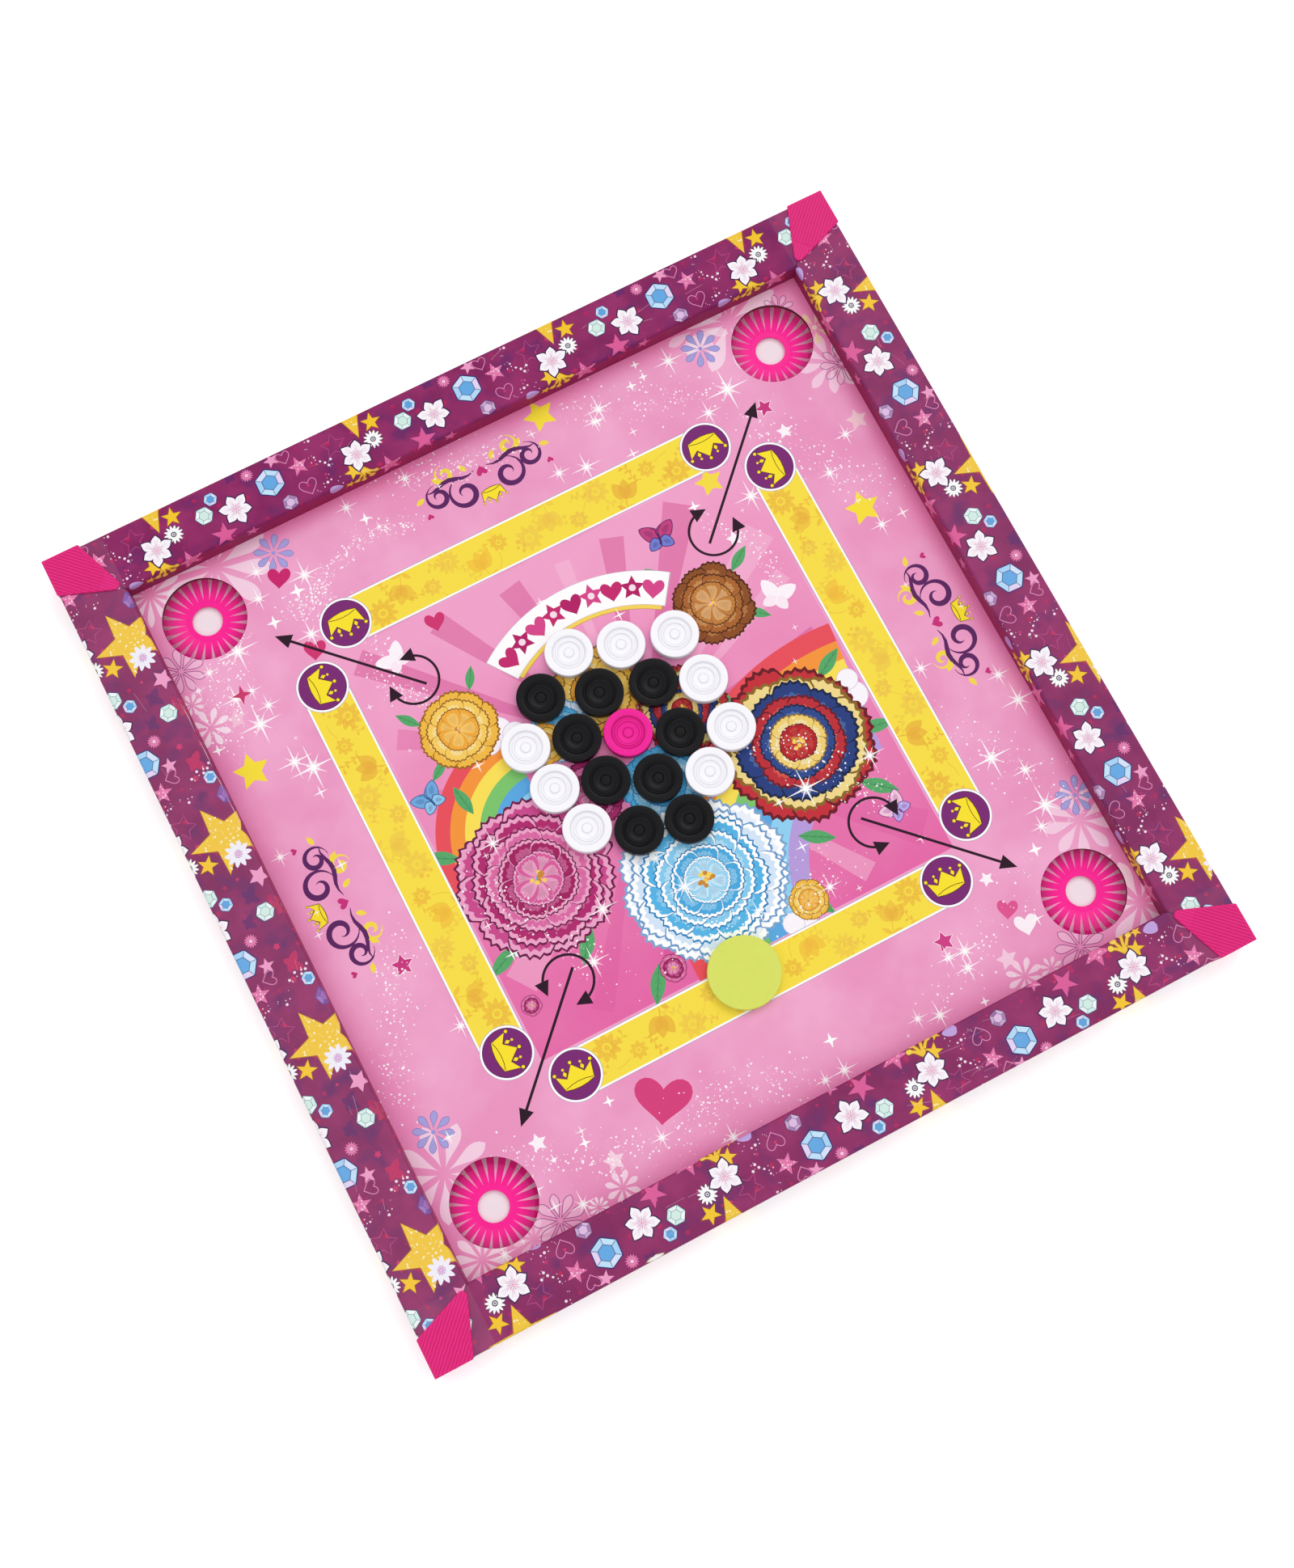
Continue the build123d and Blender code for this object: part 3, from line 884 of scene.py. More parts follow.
# %% Crown
def crown(width):
    """A three-pointed crown with small pearls, its base at -Y."""
    half, dark, gold = width / 2, "5A3A1C", "FAE22F"
    low = -half * 0.52
    base = [(x * half, low + half * 0.2 * (x * x - 0.64)) for x in (-0.8, -0.4, 0.0, 0.4, 0.8)]
    body = base + [(half * x, half * y) for x, y in
                   ((1, 0.3), (0.5, -0.02), (0, 0.58), (-0.5, -0.02), (-1, 0.3))]
    motif = line_ink(body, 0.9, dark, closed=True) + ink(body, gold)
    motif += line_ink([(x * 0.97, 2 * low - y + half * 0.05) for x, y in base], 0.4, dark)
    jewel = [(half * x, half * y) for x, y in ((0, -0.16), (0.11, 0), (0, 0.16), (-0.11, 0))]
    for x in (-half * 0.5, half * 0.5):
        motif += ink(jewel, dark, 1.0, (x, half * 0.26), scale=1.3)
        motif += ink(jewel, gold, 1.0, (x, half * 0.26))
        motif += dot(half * 0.07, gold, (x, half * 0.52), sides=8)
    for x, y in ((0, 0.7), (-1.02, 0.42), (1.02, 0.42)):
        at = (half * x, half * y)
        motif += dot(half * 0.12, dark, at) + dot(half * 0.09, gold, at)
    return motif


# %% Flowers of the bands
# The yellow bands carry tulips, rosettes, twigs and berries in a slightly deeper yellow.
def leafy_tulip(size, colour, cover):
    """A tulip on a stem with a leaf on either side."""
    motif = []
    for turn in (55, 90, 125):
        shape = petal_outline(size, size * 0.62, 0, 0.3, 3)
        motif += ink(shape, colour, cover, (0, -size * 0.3), turn)
    motif += line_ink([(0, -size * 0.3), (0.4, -size * 0.8), (0, -size * 1.2)], 0.6, colour, cover)
    for turn in (28, 152):
        shape = petal_outline(size * 0.55, size * 0.22, 0, 0.8, 3)
        motif += ink(shape, colour, cover, (0, -size * 0.85), turn)
    return motif


def sprig(size, colour, cover):
    """A curled stalk with small leaves."""
    stalk = [(size * (k / 8 - 0.5), size * 0.12 * math.sin(k * 0.8)) for k in range(9)]
    motif = line_ink(stalk, size * 0.035, colour, cover)
    for k in range(1, 8):
        leaf_shape = petal_outline(size * 0.22, size * 0.1, 0, 0.8, 2)
        motif += ink(leaf_shape, colour, cover, stalk[k], 62 if k % 2 else -62)
    return motif


def rosette(radius, petals, turn, colour, cover):
    width = 2 * math.pi * radius * 0.62 / petals
    shape = petal_outline(radius, width, radius * 0.26, 0.05, 3)
    return (dot(radius * 0.2, colour, cover=cover)
            + wheel(ink(shape, colour, cover), petals, turn))


def between(points, limit):
    """The part of an outline less than limit away from the line y = 0."""
    for sign in (1, -1):
        kept = []
        for (x0, y0), (x1, y1) in zip(points[-1:] + points[:-1], points):
            if (sign * y0 < limit) != (sign * y1 < limit):
                share = (sign * limit - y0) / (y1 - y0)
                kept.append((x0 + (x1 - x0) * share, sign * limit))
            if sign * y1 < limit:
                kept.append((x1, y1))
        points = kept
    return points


# %% Flowers along one band
band_middle, band_half, circle_place, white_line = 146.2, 13.6, 117.9, 1.1
draw = random.Random(12)
band_print = []
for k in range(13):
    side = 1 if k % 2 else -1
    spot = (-96 + 16 * k + draw.uniform(-1.5, 1.5), side * draw.uniform(2.5, 6.0))
    shade = draw.choice(("F0B83C", "EDC04A", "E9AE3C"))
    cover, turn = draw.uniform(0.5, 0.75), draw.uniform(0, 360)
    if k % 3 == 0:
        motif = rosette(draw.uniform(7.4, 9.2), draw.choice((9, 11)), turn, shade, cover)
    elif k % 3 == 1:
        motif = leafy_tulip(12.5, shade, cover)
        turn = draw.uniform(-35, 35) + (0 if side < 0 else 180)
    else:
        motif = rosette(5.6, 8, turn, shade, cover)
        motif += line_ink([(0, -6), (0.8, -11), (0, -16)], 0.5, shade, cover)
    flowers = placed(placed(motif, turn=turn), spot)
    spot = (spot[0] + 8 + draw.uniform(-1, 1), -side * draw.uniform(4, 7))
    if draw.choice(("sprig", "berries", "sprig")) == "sprig":
        motif = sprig(15.0, shade, cover)
    else:
        motif = []
        for at in ((0, 0), (3.6, 1.0), (1.4, 3.8), (-2.6, 2.6)):
            motif += dot(draw.uniform(0.9, 1.7), shade, at, cover, 9)
    flowers += placed(placed(motif, turn=draw.uniform(0, 360)), spot)
    for points, colour, cover in flowers:
        points = between(points, band_half - white_line - 0.1)
        if len(points) > 2:
            band_print.append((points, colour, cover))
print(len(band_print), "outlines of flowers along a band")

# %% A band with its base circles
band = []
for grow, colour in ((0.35, "B59CB8"), (0.0, "FFFFFF"), (-white_line, "F8DE48")):
    low, high = band_middle - (band_half + grow), band_middle + (band_half + grow)
    band += ink(box_outline(-circle_place, low, circle_place, high), colour)
band += placed(band_print, (0, band_middle))
for at in ((-circle_place, band_middle), (circle_place, band_middle)):
    for size, colour in ((15.4, "B59CB8"), (15.1, "FFFFFF"), (13.95, "5E1F5E"), (13.6, "7A2A73")):
        band += dot(size, colour, at, sides=48)
    band += placed(crown(21.5), at, 180)
print("a band has", len(band), "outlines")

# %% The arrow and foul line of the far right corner
arrow_ink, arrow_tail, arrow_tip, foul_middle = "2B1526", 92.2, 157.7, 97.6


def arrowhead(tip, towards, length):
    """A filled arrowhead whose tip points along the angle towards."""
    return ink([(0, 0), (-length, 4.3), (-length, -4.3)], arrow_ink, 1.0, tip, towards)


corner_arrow = line_ink([(arrow_tail,) * 2, (arrow_tip - 3,) * 2], 1.6, arrow_ink)
corner_arrow += arrowhead((arrow_tip, arrow_tip), 45, 9.8)
corner_arrow += line_ink(arc_path((foul_middle, foul_middle), 14.4, 112, 337, 36), 1.5, arrow_ink)
for a, way in ((80, -1), (372, 1)):
    tip = [foul_middle + 14.6 * part for part in (math.cos(math.radians(a)), math.sin(math.radians(a)))]
    corner_arrow += arrowhead(tip, a + 90 * way - 14 * way, 8.8)
print("a corner's arrow has", len(corner_arrow), "outlines")

# %% [markdown]
# ### Blooms, ribbon, rainbows and flourishes
# The middle of the sheet carries a bright picture. Here it is a bouquet of ruffled blooms over
# rainbows and soft rays, under a festive ribbon with hearts and stars. Each bloom is built from
# rings of petals, the outer ones first, with a frilled tip on every petal.

# %% Ruffled petal
def ruffled(length, width, frills, start=0.12, shoulder=0.82, steps=14):
    """A petal along +X that widens from start to its shoulder and ends in a frilled tip."""
    upper = []
    for k in range(7):
        wide = width / 2 * (0.2 + 0.8 * math.sin(k / 6 * math.pi / 2) ** 0.8)
        upper.append((length * (start + (shoulder - start) * (k / 6)), wide))
    tip = []
    for k in range(1, steps):
        share = 1 - 2 * k / steps
        bulge = math.sqrt(max(0.0, 1 - share * share))
        frill = 0.03 * length * math.cos(frills * math.pi * share)
        tip.append((length * (shoulder + 0.18 * bulge) + frill, width / 2 * share))
    return upper + tip + [(x, -y) for x, y in reversed(upper)]


# %% Bloom
def bloom(radius, rings, frill, seed):
    """rings lists (size share, petals, edge, fill, light) from the outside in."""
    draw = random.Random(seed)
    motif = []
    for size, petals, edge, fill, light in rings:
        reach = radius * size
        width = 2 * math.pi * reach * 0.82 / petals * 1.25
        first = draw.uniform(0, 360)
        order = list(range(petals))
        draw.shuffle(order)
        for k in order:
            a = first + 360 / petals * k + draw.uniform(-3, 3)
            grow = draw.uniform(0.93, 1.05)
            whole = ruffled(reach * grow, width, 5)
            motif += ink(whole, edge, turn=a)
            if frill:
                motif += ink(whole, frill, turn=a, scale=0.965)
            motif += ink(whole, fill, turn=a, scale=0.9 if frill else 0.95)
            motif += ink(ruffled(reach * grow * 0.8, width * 0.56, 3), light, 0.55, turn=a)
            for bend in (-14, -7, 0, 7, 14):
                fold = [(reach * 0.3, 0), (reach * 0.6, reach * 0.004 * bend),
                        (reach * 0.84, reach * 0.012 * bend)]
                motif += line_ink(moved(fold, turn=a + bend * 0.5), radius * 0.012, edge, 0.4,
                                  taper=True)
    for k in range(14):
        a = draw.uniform(0, 360)
        r = radius * 0.09 * math.sqrt(draw.random())
        colour = ("F6D258", "C9893A")[k % 2]
        motif += dot(radius * 0.028, colour, (r * math.cos(a), r * math.sin(a)), sides=7)
    return motif


# %% Leaf and rainbow
def leaf(length, fill="58A86A", vein="3C7F50"):
    motif = ink(petal_outline(length, length * 0.36, 0, 0.85, 6), fill)
    motif += line_ink([(0, 0), (length * 0.92, 0)], length * 0.02, vein, 0.8)
    for k in range(1, 5):
        for side in (-1, 1):
            rib = [(length * 0.18 * k, 0),
                   (length * (0.18 * k + 0.12), side * length * 0.1 * (1 - 0.12 * k))]
            motif += line_ink(rib, length * 0.012, vein, 0.6)
    return motif


def rainbow(centre, radius, start, end, width):
    """An arc of seven colours, the first one outside."""
    motif = []
    for k, colour in enumerate(("E8505B", "F5953C", "F9DF57", "7CC46C", "5AA7E0", "8FD0F2", "B79BDB")):
        path = arc_path(centre, radius - width * (k + 0.5), start, end, 40)
        motif += line_ink(path, width * 1.02, colour)
    return motif


# %% Flourish
def scroll(radius, colour, width, flip):
    """A pen scroll that winds in from its stalk."""
    path = []
    for k in range(34):
        a = math.radians(-90 + 360 * 1.3 * (k / 33))
        r = radius * (1 - 0.78 * (k / 33))
        path.append((flip * r * math.cos(a), r * math.sin(a)))
    return line_ink(path, width, colour, taper=True)


def flourish(half, dark="5B2460", light="F3D84A", heart="C7307A"):
    """Paired scrolls with hearts and a small crown, as on a greeting card."""
    motif = []
    for side in (-1, 1):
        for x, y, r, colour, pen in (
            (0.36, 0.1, 0.26, dark, 3.4), (0.74, -0.02, 0.2, dark, 3.0), (0.52, -0.3, 0.15, light, 3.0),
        ):
            motif += placed(scroll(r * half, colour, pen, side), (side * x * half, y * half))
        stem = [(side * half * (0.1 + 0.1 * k), half * (-0.16 + 0.035 * math.sin(k * 1.1)))
                for k in range(9)]
        motif += line_ink(stem, 2.8, dark, taper=True)
        for x, y, turn in ((0.2, -0.2, -60), (0.62, -0.2, -50), (0.94, -0.1, 20)):
            shape = petal_outline(half * 0.16, half * 0.08, 0, 0.6, 3)
            at = (side * x * half, y * half)
            motif += ink(shape, light, 1.0, at, turn if side > 0 else 180 - turn)
        motif += ink(heart_outline(half * 0.1, 8), heart, 1.0, (side * half * 0.98, half * 0.2))
    motif += ink(heart_outline(half * 0.17, 10), heart, 1.0, (0, -half * 0.1))
    return motif + placed(crown(half * 0.36), (0, half * 0.3))


# %% Ribbon
def ribbon(radius, height, sweep):
    """An arched white ribbon with a yellow edge, strewn with hearts and stars."""
    motif = []
    for inner, outer, share, colour in (
        (-height / 2 - 2.6, height / 2 - 1.0, 0.97, "B9823A"),
        (-height / 2 - 2.3, height / 2 - 1.2, 0.96, "F4D45A"),
        (-height / 2, height / 2, 1.0, "C9B8C8"), (-height / 2 + 0.3, height / 2 - 0.3, 0.99, "FFFDFE"),
    ):
        start, end = 90 + sweep * share, 90 - sweep * share
        motif += ink(arc_path((0, -radius), radius + outer, start, end)
                     + arc_path((0, -radius), radius + inner, end, start), colour)
    for k in range(9):
        a = 90 - sweep * (k - 4) / 4.7
        spot = (radius * math.cos(math.radians(a)), radius * math.sin(math.radians(a)) - radius)
        shape = star_outline(height * 0.36, 0.5) if k % 2 else heart_outline(height * 0.62)
        motif += ink(shape, ("C42A6E", "B31F66", "D6478A")[k % 3], 1.0, spot, a - 90)
        if k % 2:
            motif += ink(ring_of(10, height * 0.1), "F9DDEB", 1.0, spot, a - 90)
    return motif


# %% [markdown]
# ### Laying the sheet out
# Everything is placed on the board's own axes in millimetres. What lies lowest is drawn first:
# rays, rainbows and blooms, then the field's flowers, stars and hearts, the twinkles, and last
# the playing lines.

# %% Rays
drawing = []
draw = random.Random(15)
turn = 6.0
while turn < 360:
    wide = draw.uniform(4.5, 9.5)
    corner = max(abs(math.cos(math.radians(turn))), abs(math.sin(math.radians(turn))))
    reach = inner_ground / corner * 0.93
    half = reach * math.tan(math.radians(wide / 2)) * 0.8
    shades = (("D2468F", 0.5), ("DB5C9E", 0.42), ("F8C6DF", 0.35))
    colour, cover = shades[int(draw.uniform(0, 2.99))]
    ray = moved([(18, 0), (reach, -half), (reach, half)], turn=turn)
    if max(abs(v) for point in ray for v in point) < inner_ground + 0.5:
        drawing += ink(ray, colour, cover, print_centre)
    turn += wide + draw.uniform(5, 11)
print(len(drawing), "rays")

# %% Rainbows, clouds and leaves
drawing += rainbow((-62, -18), 69, 92, 180, 8.4) + rainbow((-62, -18), 69, 180, 236, 8.4)
drawing += rainbow((118, -129), 148, 84, 181, 11.4)
for x, y, size in (
    (-66, 49, 8), (-58, 43, 7), (-74, 45, 7), (126, -26, 8), (118, -22, 7), (127, -16, 6),
    (-103, -62, 8), (-96, -68, 7), (-110, -68, 6), (40, -126, 7), (32, -127, 6),
):
    drawing += dot(size + 0.4, "D9C8E6", (x, y), sides=20) + dot(size, "FBF5FC", (x, y), sides=20)
for x, y, turn, size in (
    (-118, -8, 150, 22), (-70, -74, 235, 24), (-112, -66, 205, 24), (-52, -6, 60, 20),
    (-100, 12, 100, 20), (44, -112, 300, 24), (-46, -112, 240, 24), (58, -84, 330, 22),
    (112, -8, 30, 22), (104, -72, 320, 24), (62, 0, 120, 20), (118, -46, 350, 22),
    (-104, 72, 130, 16), (-70, 78, 60, 15), (62, 82, 120, 17), (98, 72, 35, 18),
    (94, 48, 320, 16), (-100, 48, 215, 15),
):
    drawing += placed(leaf(size), (x, y), turn)
print(len(drawing), "outlines with the rainbows, clouds and leaves")

# %% Blooms
magenta = (
    (1.0, 11, "6E184A", "C94A8C", "EC9DC3"), (0.84, 10, "6E184A", "B02A6E", "E084B2"),
    (0.67, 9, "7A1A50", "DA6AA3", "F2B4D0"), (0.5, 8, "5E143F", "A0215F", "D873A8"),
    (0.34, 7, "6E184A", "D75C9B", "F4BFD7"),
)
blue = (
    (1.0, 13, "7FA6CF", "EAF1FC", "FFFFFF"), (0.87, 12, "6E9CCB", "D3E5F8", "F6FAFF"),
    (0.73, 11, "2F86BF", "56B4E6", "A7DBF5"), (0.58, 10, "2F86BF", "86CBEF", "D0ECFA"),
    (0.43, 8, "2577B0", "4AA8DE", "9BD5F2"), (0.28, 7, "2577B0", "9AD4F1", "DDF2FC"),
)
navy = (
    (1.0, 11, "6A1A26", "C4303A", "E4685C"), (0.9, 10, "8A662A", "F0D88C", "FDF5D6"),
    (0.77, 10, "1A2546", "2A3F7E", "5A78B6"), (0.61, 9, "6A1A26", "BC2F3A", "E06A58"),
    (0.47, 8, "1A2546", "31498A", "6A8AC4"), (0.36, 7, "8A662A", "EFCF72", "FCEFC2"),
    (0.24, 6, "5E1420", "B3242B", "DC5148"),
)
golden = (
    (1.0, 10, "9A6420", "F0B945", "FADF8E"), (0.76, 9, "9A6420", "F6CB60", "FCEBB0"),
    (0.52, 7, "8C5518", "EFA93A", "F9D47C"),
)
brown = (
    (1.0, 10, "4E2712", "8C4E26", "C98A50"), (0.77, 9, "4E2712", "A9642F", "DDA468"),
    (0.54, 7, "4E2712", "C07C3D", "EBC089"),
)
for x, y, size, rings, frill, seed in (
    (-6, 44, 27, golden, None, 51), (34, 12, 27, navy, None, 52), (-36, -8, 25, magenta[1:], None, 53),
    (4, -22, 33, blue[2:], None, 54), (-34, 32, 22, blue[1:], None, 55),
    (-86, 60, 24, golden, None, 31), (79, 60, 25, brown, None, 32),
    (-84, -38, 46, magenta, "EBA3C7", 33), (84, -36, 46, navy, None, 34),
    (0, -82, 50, blue, "FFFFFF", 35), (-40, -118, 12, magenta[2:], None, 41),
    (46, -119, 12, golden, None, 42), (-120, -100, 9, magenta[2:], None, 43),
    (-46, 30, 13, golden, None, 44),
):
    drawing += placed(bloom(size, rings, frill, seed), (x, y))
drawing += placed(ribbon(92, 21, 36), (6, 97))
print("middle of the sheet:", len(drawing), "outlines")

# %% Flowers of the field
# Pale flowers with open petals, some with a pen line, and lilac ones, mostly near the corners.
for x, y, size, petals, share, cover in (
    (-168, 212, 34, 10, 0.3, 0.6), (-209, 214, 20, 12, 0.2, 0.7), (170, 211, 34, 10, 0.3, 0.6),
    (212, 160, 20, 9, 0.3, 0.5), (-204, -160, 28, 9, 0.3, 0.6), (-206, -211, 17, 10, 0.3, 0.7),
    (212, -207, 26, 9, 0.3, 0.6), (205, -150, 22, 9, 0.3, 0.5), (150, 216, 20, 8, 0.3, 0.5),
    (-211, 126, 12, 8, 0.32, 0.8), (-215, 143, 7, 8, 0.34, 0.8), (-120.5, -212, 10, 8, 0.34, 0.7),
    (-137, -215.5, 6, 10, 0.26, 0.85), (133, -213, 11, 8, 0.32, 0.65),
    (148.5, -216, 7, 8, 0.3, 0.6), (-176, -214, 12, 9, 0.3, 0.4),
):
    shape = drop_outline(size, size * share, size * 0.12)
    drawing += placed(wheel(ink(shape, "FCEBF6", cover), petals, 9), (x, y))
for x, y, size in ((-212, 164, 14), (217, 156, 13), (-159, -212, 15), (169, -213, 15), (200, 204, 10)):
    pen = []
    for k in range(9):
        shape = moved(drop_outline(size, size * 0.34, size * 0.08), turn=40 * k)
        pen += ink(shape, "F6D6EA", 0.35) + line_ink(shape, 0.5, "8E4A84", 0.85, closed=True)
    drawing += placed(pen, (x, y))
drawing += dot(1.6, "F1DCC0", (214, 184), 0.9, 8)
drawing += placed(wheel(ink(drop_outline(11, 3.2, 1.5), "EBCF9E", 0.85), 7), (214, 184))
petal = ink(drop_outline(12.0, 4.3, 1.6), "7C74C0", 0.9) + ink(drop_outline(11.6, 3.5, 2.4), "A6A2DC")
for x, y, turn in ((-134.3, 204.3, 17), (146.7, 203.3, 18), (-199.3, -137.3, 17), (210, -136, 18)):
    drawing += placed(wheel(petal, 8, turn) + dot(1.3, "9C97DC"), (x, y))
print(len(drawing), "outlines with the field's flowers")

# %% Stars, hearts, butterflies and flourishes of the field
for x, y, size, fill, turn in (
    (42.3, 209.3, 10.5, "F8E03C", 98), (-201, 92.3, 11, "F8E03C", 84), (185.3, 71, 11, "F8E03C", 84),
    (112.3, 126.7, 9, "F6DC45", 90), (-173.7, -46.7, 6.5, "C8377F", 80),
    (163, 152.7, 5.5, "C8377F", 95), (102.3, -175, 6, "CF3F86", 85),
    (206.7, -176.7, 5, "F3C3DC", 90), (166.7, 134.3, 5, "FDF3F9", 80),
    (-151, -169, 5.5, "FDF3F9", 85), (141, -155, 4.5, "FDF3F9", 95), (109, 89, 5, "FDF3F9", 85),
    (-195.6, 124, 6, "F6C0D8", 84), (208.6, 121, 7, "F2C6D2", 84), (129, -200, 6.5, "F6CBDF", 84),
    (-118, -197, 6.5, "F8D4E4", 84),
):
    rim = "FFFFFF" if fill.startswith("C") else None
    drawing += placed(star(size, fill, rim, 0.5, turn, 0.4), (x, y))
for x, y, width, tall, turn, fill in (
    (-78.3, -179, 32.5, 0.88, -30, "D6417C"), (-137.7, 189.7, 13.5, 1.02, -25, "C9256C"),
    (-69, 124.3, 12, 1.02, -10, "CF3570"), (-138, 141, 13, 1.02, -22, "CF3570"),
    (143.3, -175, 12, 1.02, -28, "DE5590"), (148.3, -187.3, 13, 1.02, -14, "FDF0F7"),
):
    heart = [(px, py * tall) for px, py in heart_outline(width, 16)]
    drawing += ink(heart, fill, 1.0, (x, y), turn)
for x, y, size, turn, wing, low, edge in (
    (-99.3, 113, 20, 25, "FDF3FA", "FBE9F4", None), (70, 109, 21, -8, "C2417F", "6F7ED0", "4E2060"),
    (114, 46, 22, -35, "FDF3FA", "FBE9F4", None), (-118, 30, 19, 20, "6FA8DC", "8FC4EA", "33598F"),
    (116, -96, 18, 30, "F3C2DD", "B9A8E6", "7A3C8C"),
):
    drawing += placed(butterfly(size, wing, low, edge, edge or "FDF3FA"), (x, y), turn)
for at, turn in (((-4, 190), 180), ((-192, 0), 90), ((194, -10), 270)):
    drawing += placed(flourish(40.0), at, turn)
print(len(drawing), "outlines with the field's stars, hearts, butterflies and flourishes")

# %% Glitter trails
trails = [
    ([(-60, 216), (-20, 205), (20, 200)], 230, 6),
    ([(-127, 169), (-107, 181), (-78, 192), (-53, 183)], 260, 3.0),
    ([(-210, 110), (-190, 150), (-175, 175)], 240, 7), ([(-140, 170), (-120, 160), (-100, 118)], 200, 5),
    ([(-215, -120), (-190, -70), (-175, -30)], 260, 7), ([(60, 205), (100, 190), (140, 176)], 180, 7),
    ([(150, 150), (176, 110), (205, 70)], 200, 8), ([(160, -60), (190, -100), (212, -150)], 150, 9),
    ([(80, -200), (120, -190), (170, -165)], 110, 8), ([(-80, -205), (-40, -190), (0, -212)], 240, 8),
    ([(-170, -170), (-130, -190), (-96, -200)], 200, 6), ([(-120, -20), (-90, -60), (-70, -110)], 200, 9),
    ([(-30, -100), (20, -120), (70, -110)], 260, 9), ([(60, -20), (90, -50), (110, -90)], 220, 8),
    ([(100, 104), (118, 84), (122, 56)], 130, 4), ([(-116, 116), (-104, 96), (-90, 84)], 130, 4),
]
specks = (0.18, 0.24, 0.3, 0.36, 0.5, 0.65)
for k, (path, count, spread_mm) in enumerate(trails):
    for row in strewn(path, count, spread_mm, specks, "FFFFFF", 60 + k, 0.85):
        if max(abs(row[0][0][0]), abs(row[0][0][1])) < inner_half + 1:
            drawing.append(row)
print(len(trails), "glitter trails")


# %% Twinkles
def twinkle(radius, thin, cover):
    """Four long thin rays."""
    return ink(star_outline(radius, thin * 1.3, 4, 90.0), "FFFFFF", cover)


def bright_twinkle(radius, thin=0.052, cover=0.95):
    """Long rays with shorter ones between, on a soft glow."""
    short = ink(star_outline(radius * 0.6, thin * 2, 4, 135.0), "FFFFFF", cover * 0.85)
    return (dot(radius * 0.26, "FFFFFF", cover=0.3, sides=16) + short
            + twinkle(radius, thin, cover) + dot(radius * 0.12, "FFFFFF", cover=cover, sides=8))


for x, y, size in (
    (-46, 210.7, 7), (75, 197, 9), (-169, 78.3, 13), (-177, 86, 10), (-185, 115, 12),
    (130, 107.7, 10), (178, -95, 12), (75, -61.7, 12), (190, 57, 7), (-78, -94.3, 9),
    (-13.3, -80, 10), (116.7, -61.7, 9), (17.3, -111.7, 7), (107, -194, 8), (80, -210, 8),
    (68, -206, 6), (-84.6, 210, 7), (-191, 135, 9), (-181, 135, 6), (-176, 123, 7),
    (-198, 156, 6), (-208, 149, 5), (-136, 150, 9), (-124, 184, 10), (-154, 183, 7),
    (-178, 160, 12), (126, 205, 9), (149, 173, 13), (132, 165, 8), (69, 191, 7), (52, 168, 9),
    (198, 116, 7), (178, 99, 7), (209, -72, 10), (206, -54, 7), (192, -133, 12), (192, -110, 8),
    (184, -143, 7), (100, -184, 7), (110, -185, 9), (18, -212, 8), (6, -212, 6), (-54, -216, 8),
    (-144, -210, 8), (-148.2, 198.3, 7), (-72.6, 190.6, 4), (-194, -214, 7), (-98, -8, 8),
    (-20, -58, 8), (-60, -70, 9), (60, -118, 7), (-150, 44, 6), (-208, 40, 6), (168, -30, 7),
    (-160, -92, 7), (36, 172, 7), (-89, -198, 7),
):
    drawing += placed(bright_twinkle(size * 1.15), (x, y))
for x, y, size in (
    (-152, 166, 4.5), (-132, 177, 5), (-77.6, 198.6, 4), (107, 212, 3), (108, 203, 3),
    (99, 201, 3.5), (97, 117, 4), (19, -194, 4.5), (-106, -167, 3.5), (-128, -181, 3.5),
    (106, -215, 3), (174, -153, 4.5), (-213, 112, 3.5),
):
    drawing += ink(star_outline(size, 0.3, 4, 82), "FFFFFF", 1.0, (x, y))
drawing += ink(star_outline(6, 0.34, 4, 78), "C93A6C", 1.0, (-187, 135.5))
draw = random.Random(90)
for _ in range(60):
    spot = (draw.uniform(-214, 214), draw.uniform(-214, 214))
    if not 128 <= max(abs(spot[0]), abs(spot[1])) <= 162:
        drawing += placed(twinkle(draw.choice((1.6, 2.4, 3.4, 4.6)), 0.12, 0.9), spot)
print(len(drawing), "outlines with the twinkles")

# %% Playing lines, then the sheet
for turn in (0, 90, 180, 270):
    drawing += placed(band, print_centre, turn)
for flip_x, flip_y in ((1, 1), (-1, 1), (-1, -1), (1, -1)):
    mirrored = [([(x * flip_x, y * flip_y) for x, y in points], colour, cover)
                for points, colour, cover in corner_arrow]
    drawing += placed(mirrored, print_centre)

outlines = [box_outline(-panel_half, -panel_half, panel_half, panel_half)]
for x, y in ((-1, -1), (-1, 1), (1, -1), (1, 1)):
    outlines.append(moved(ring_of(96, pocket_radius), (x * pocket_place, y * pocket_place)))
bm = printed_bmesh(drawing, outlines)
back_of(bm)
bmesh.ops.translate(bm, verts=bm.verts, vec=(0, 0, surface_z))
bmesh.ops.scale(bm, verts=bm.verts, vec=(MM, MM, MM))
print("playing sheet:", len(drawing), "outlines,", len(bm.faces), "faces")
sheet = object_from(bm, "printed_sheet", sheet_paper)
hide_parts("playing_sheet")

# %% [markdown]
# ## Carrommen
# A carromman is turned or moulded round its axis: a wide flat rim that is good to strike, a
# sloping dish with one narrow raised ring, and a small button in the middle. A profile spun
# through a full turn gives exactly that. The three plastics share one mould.

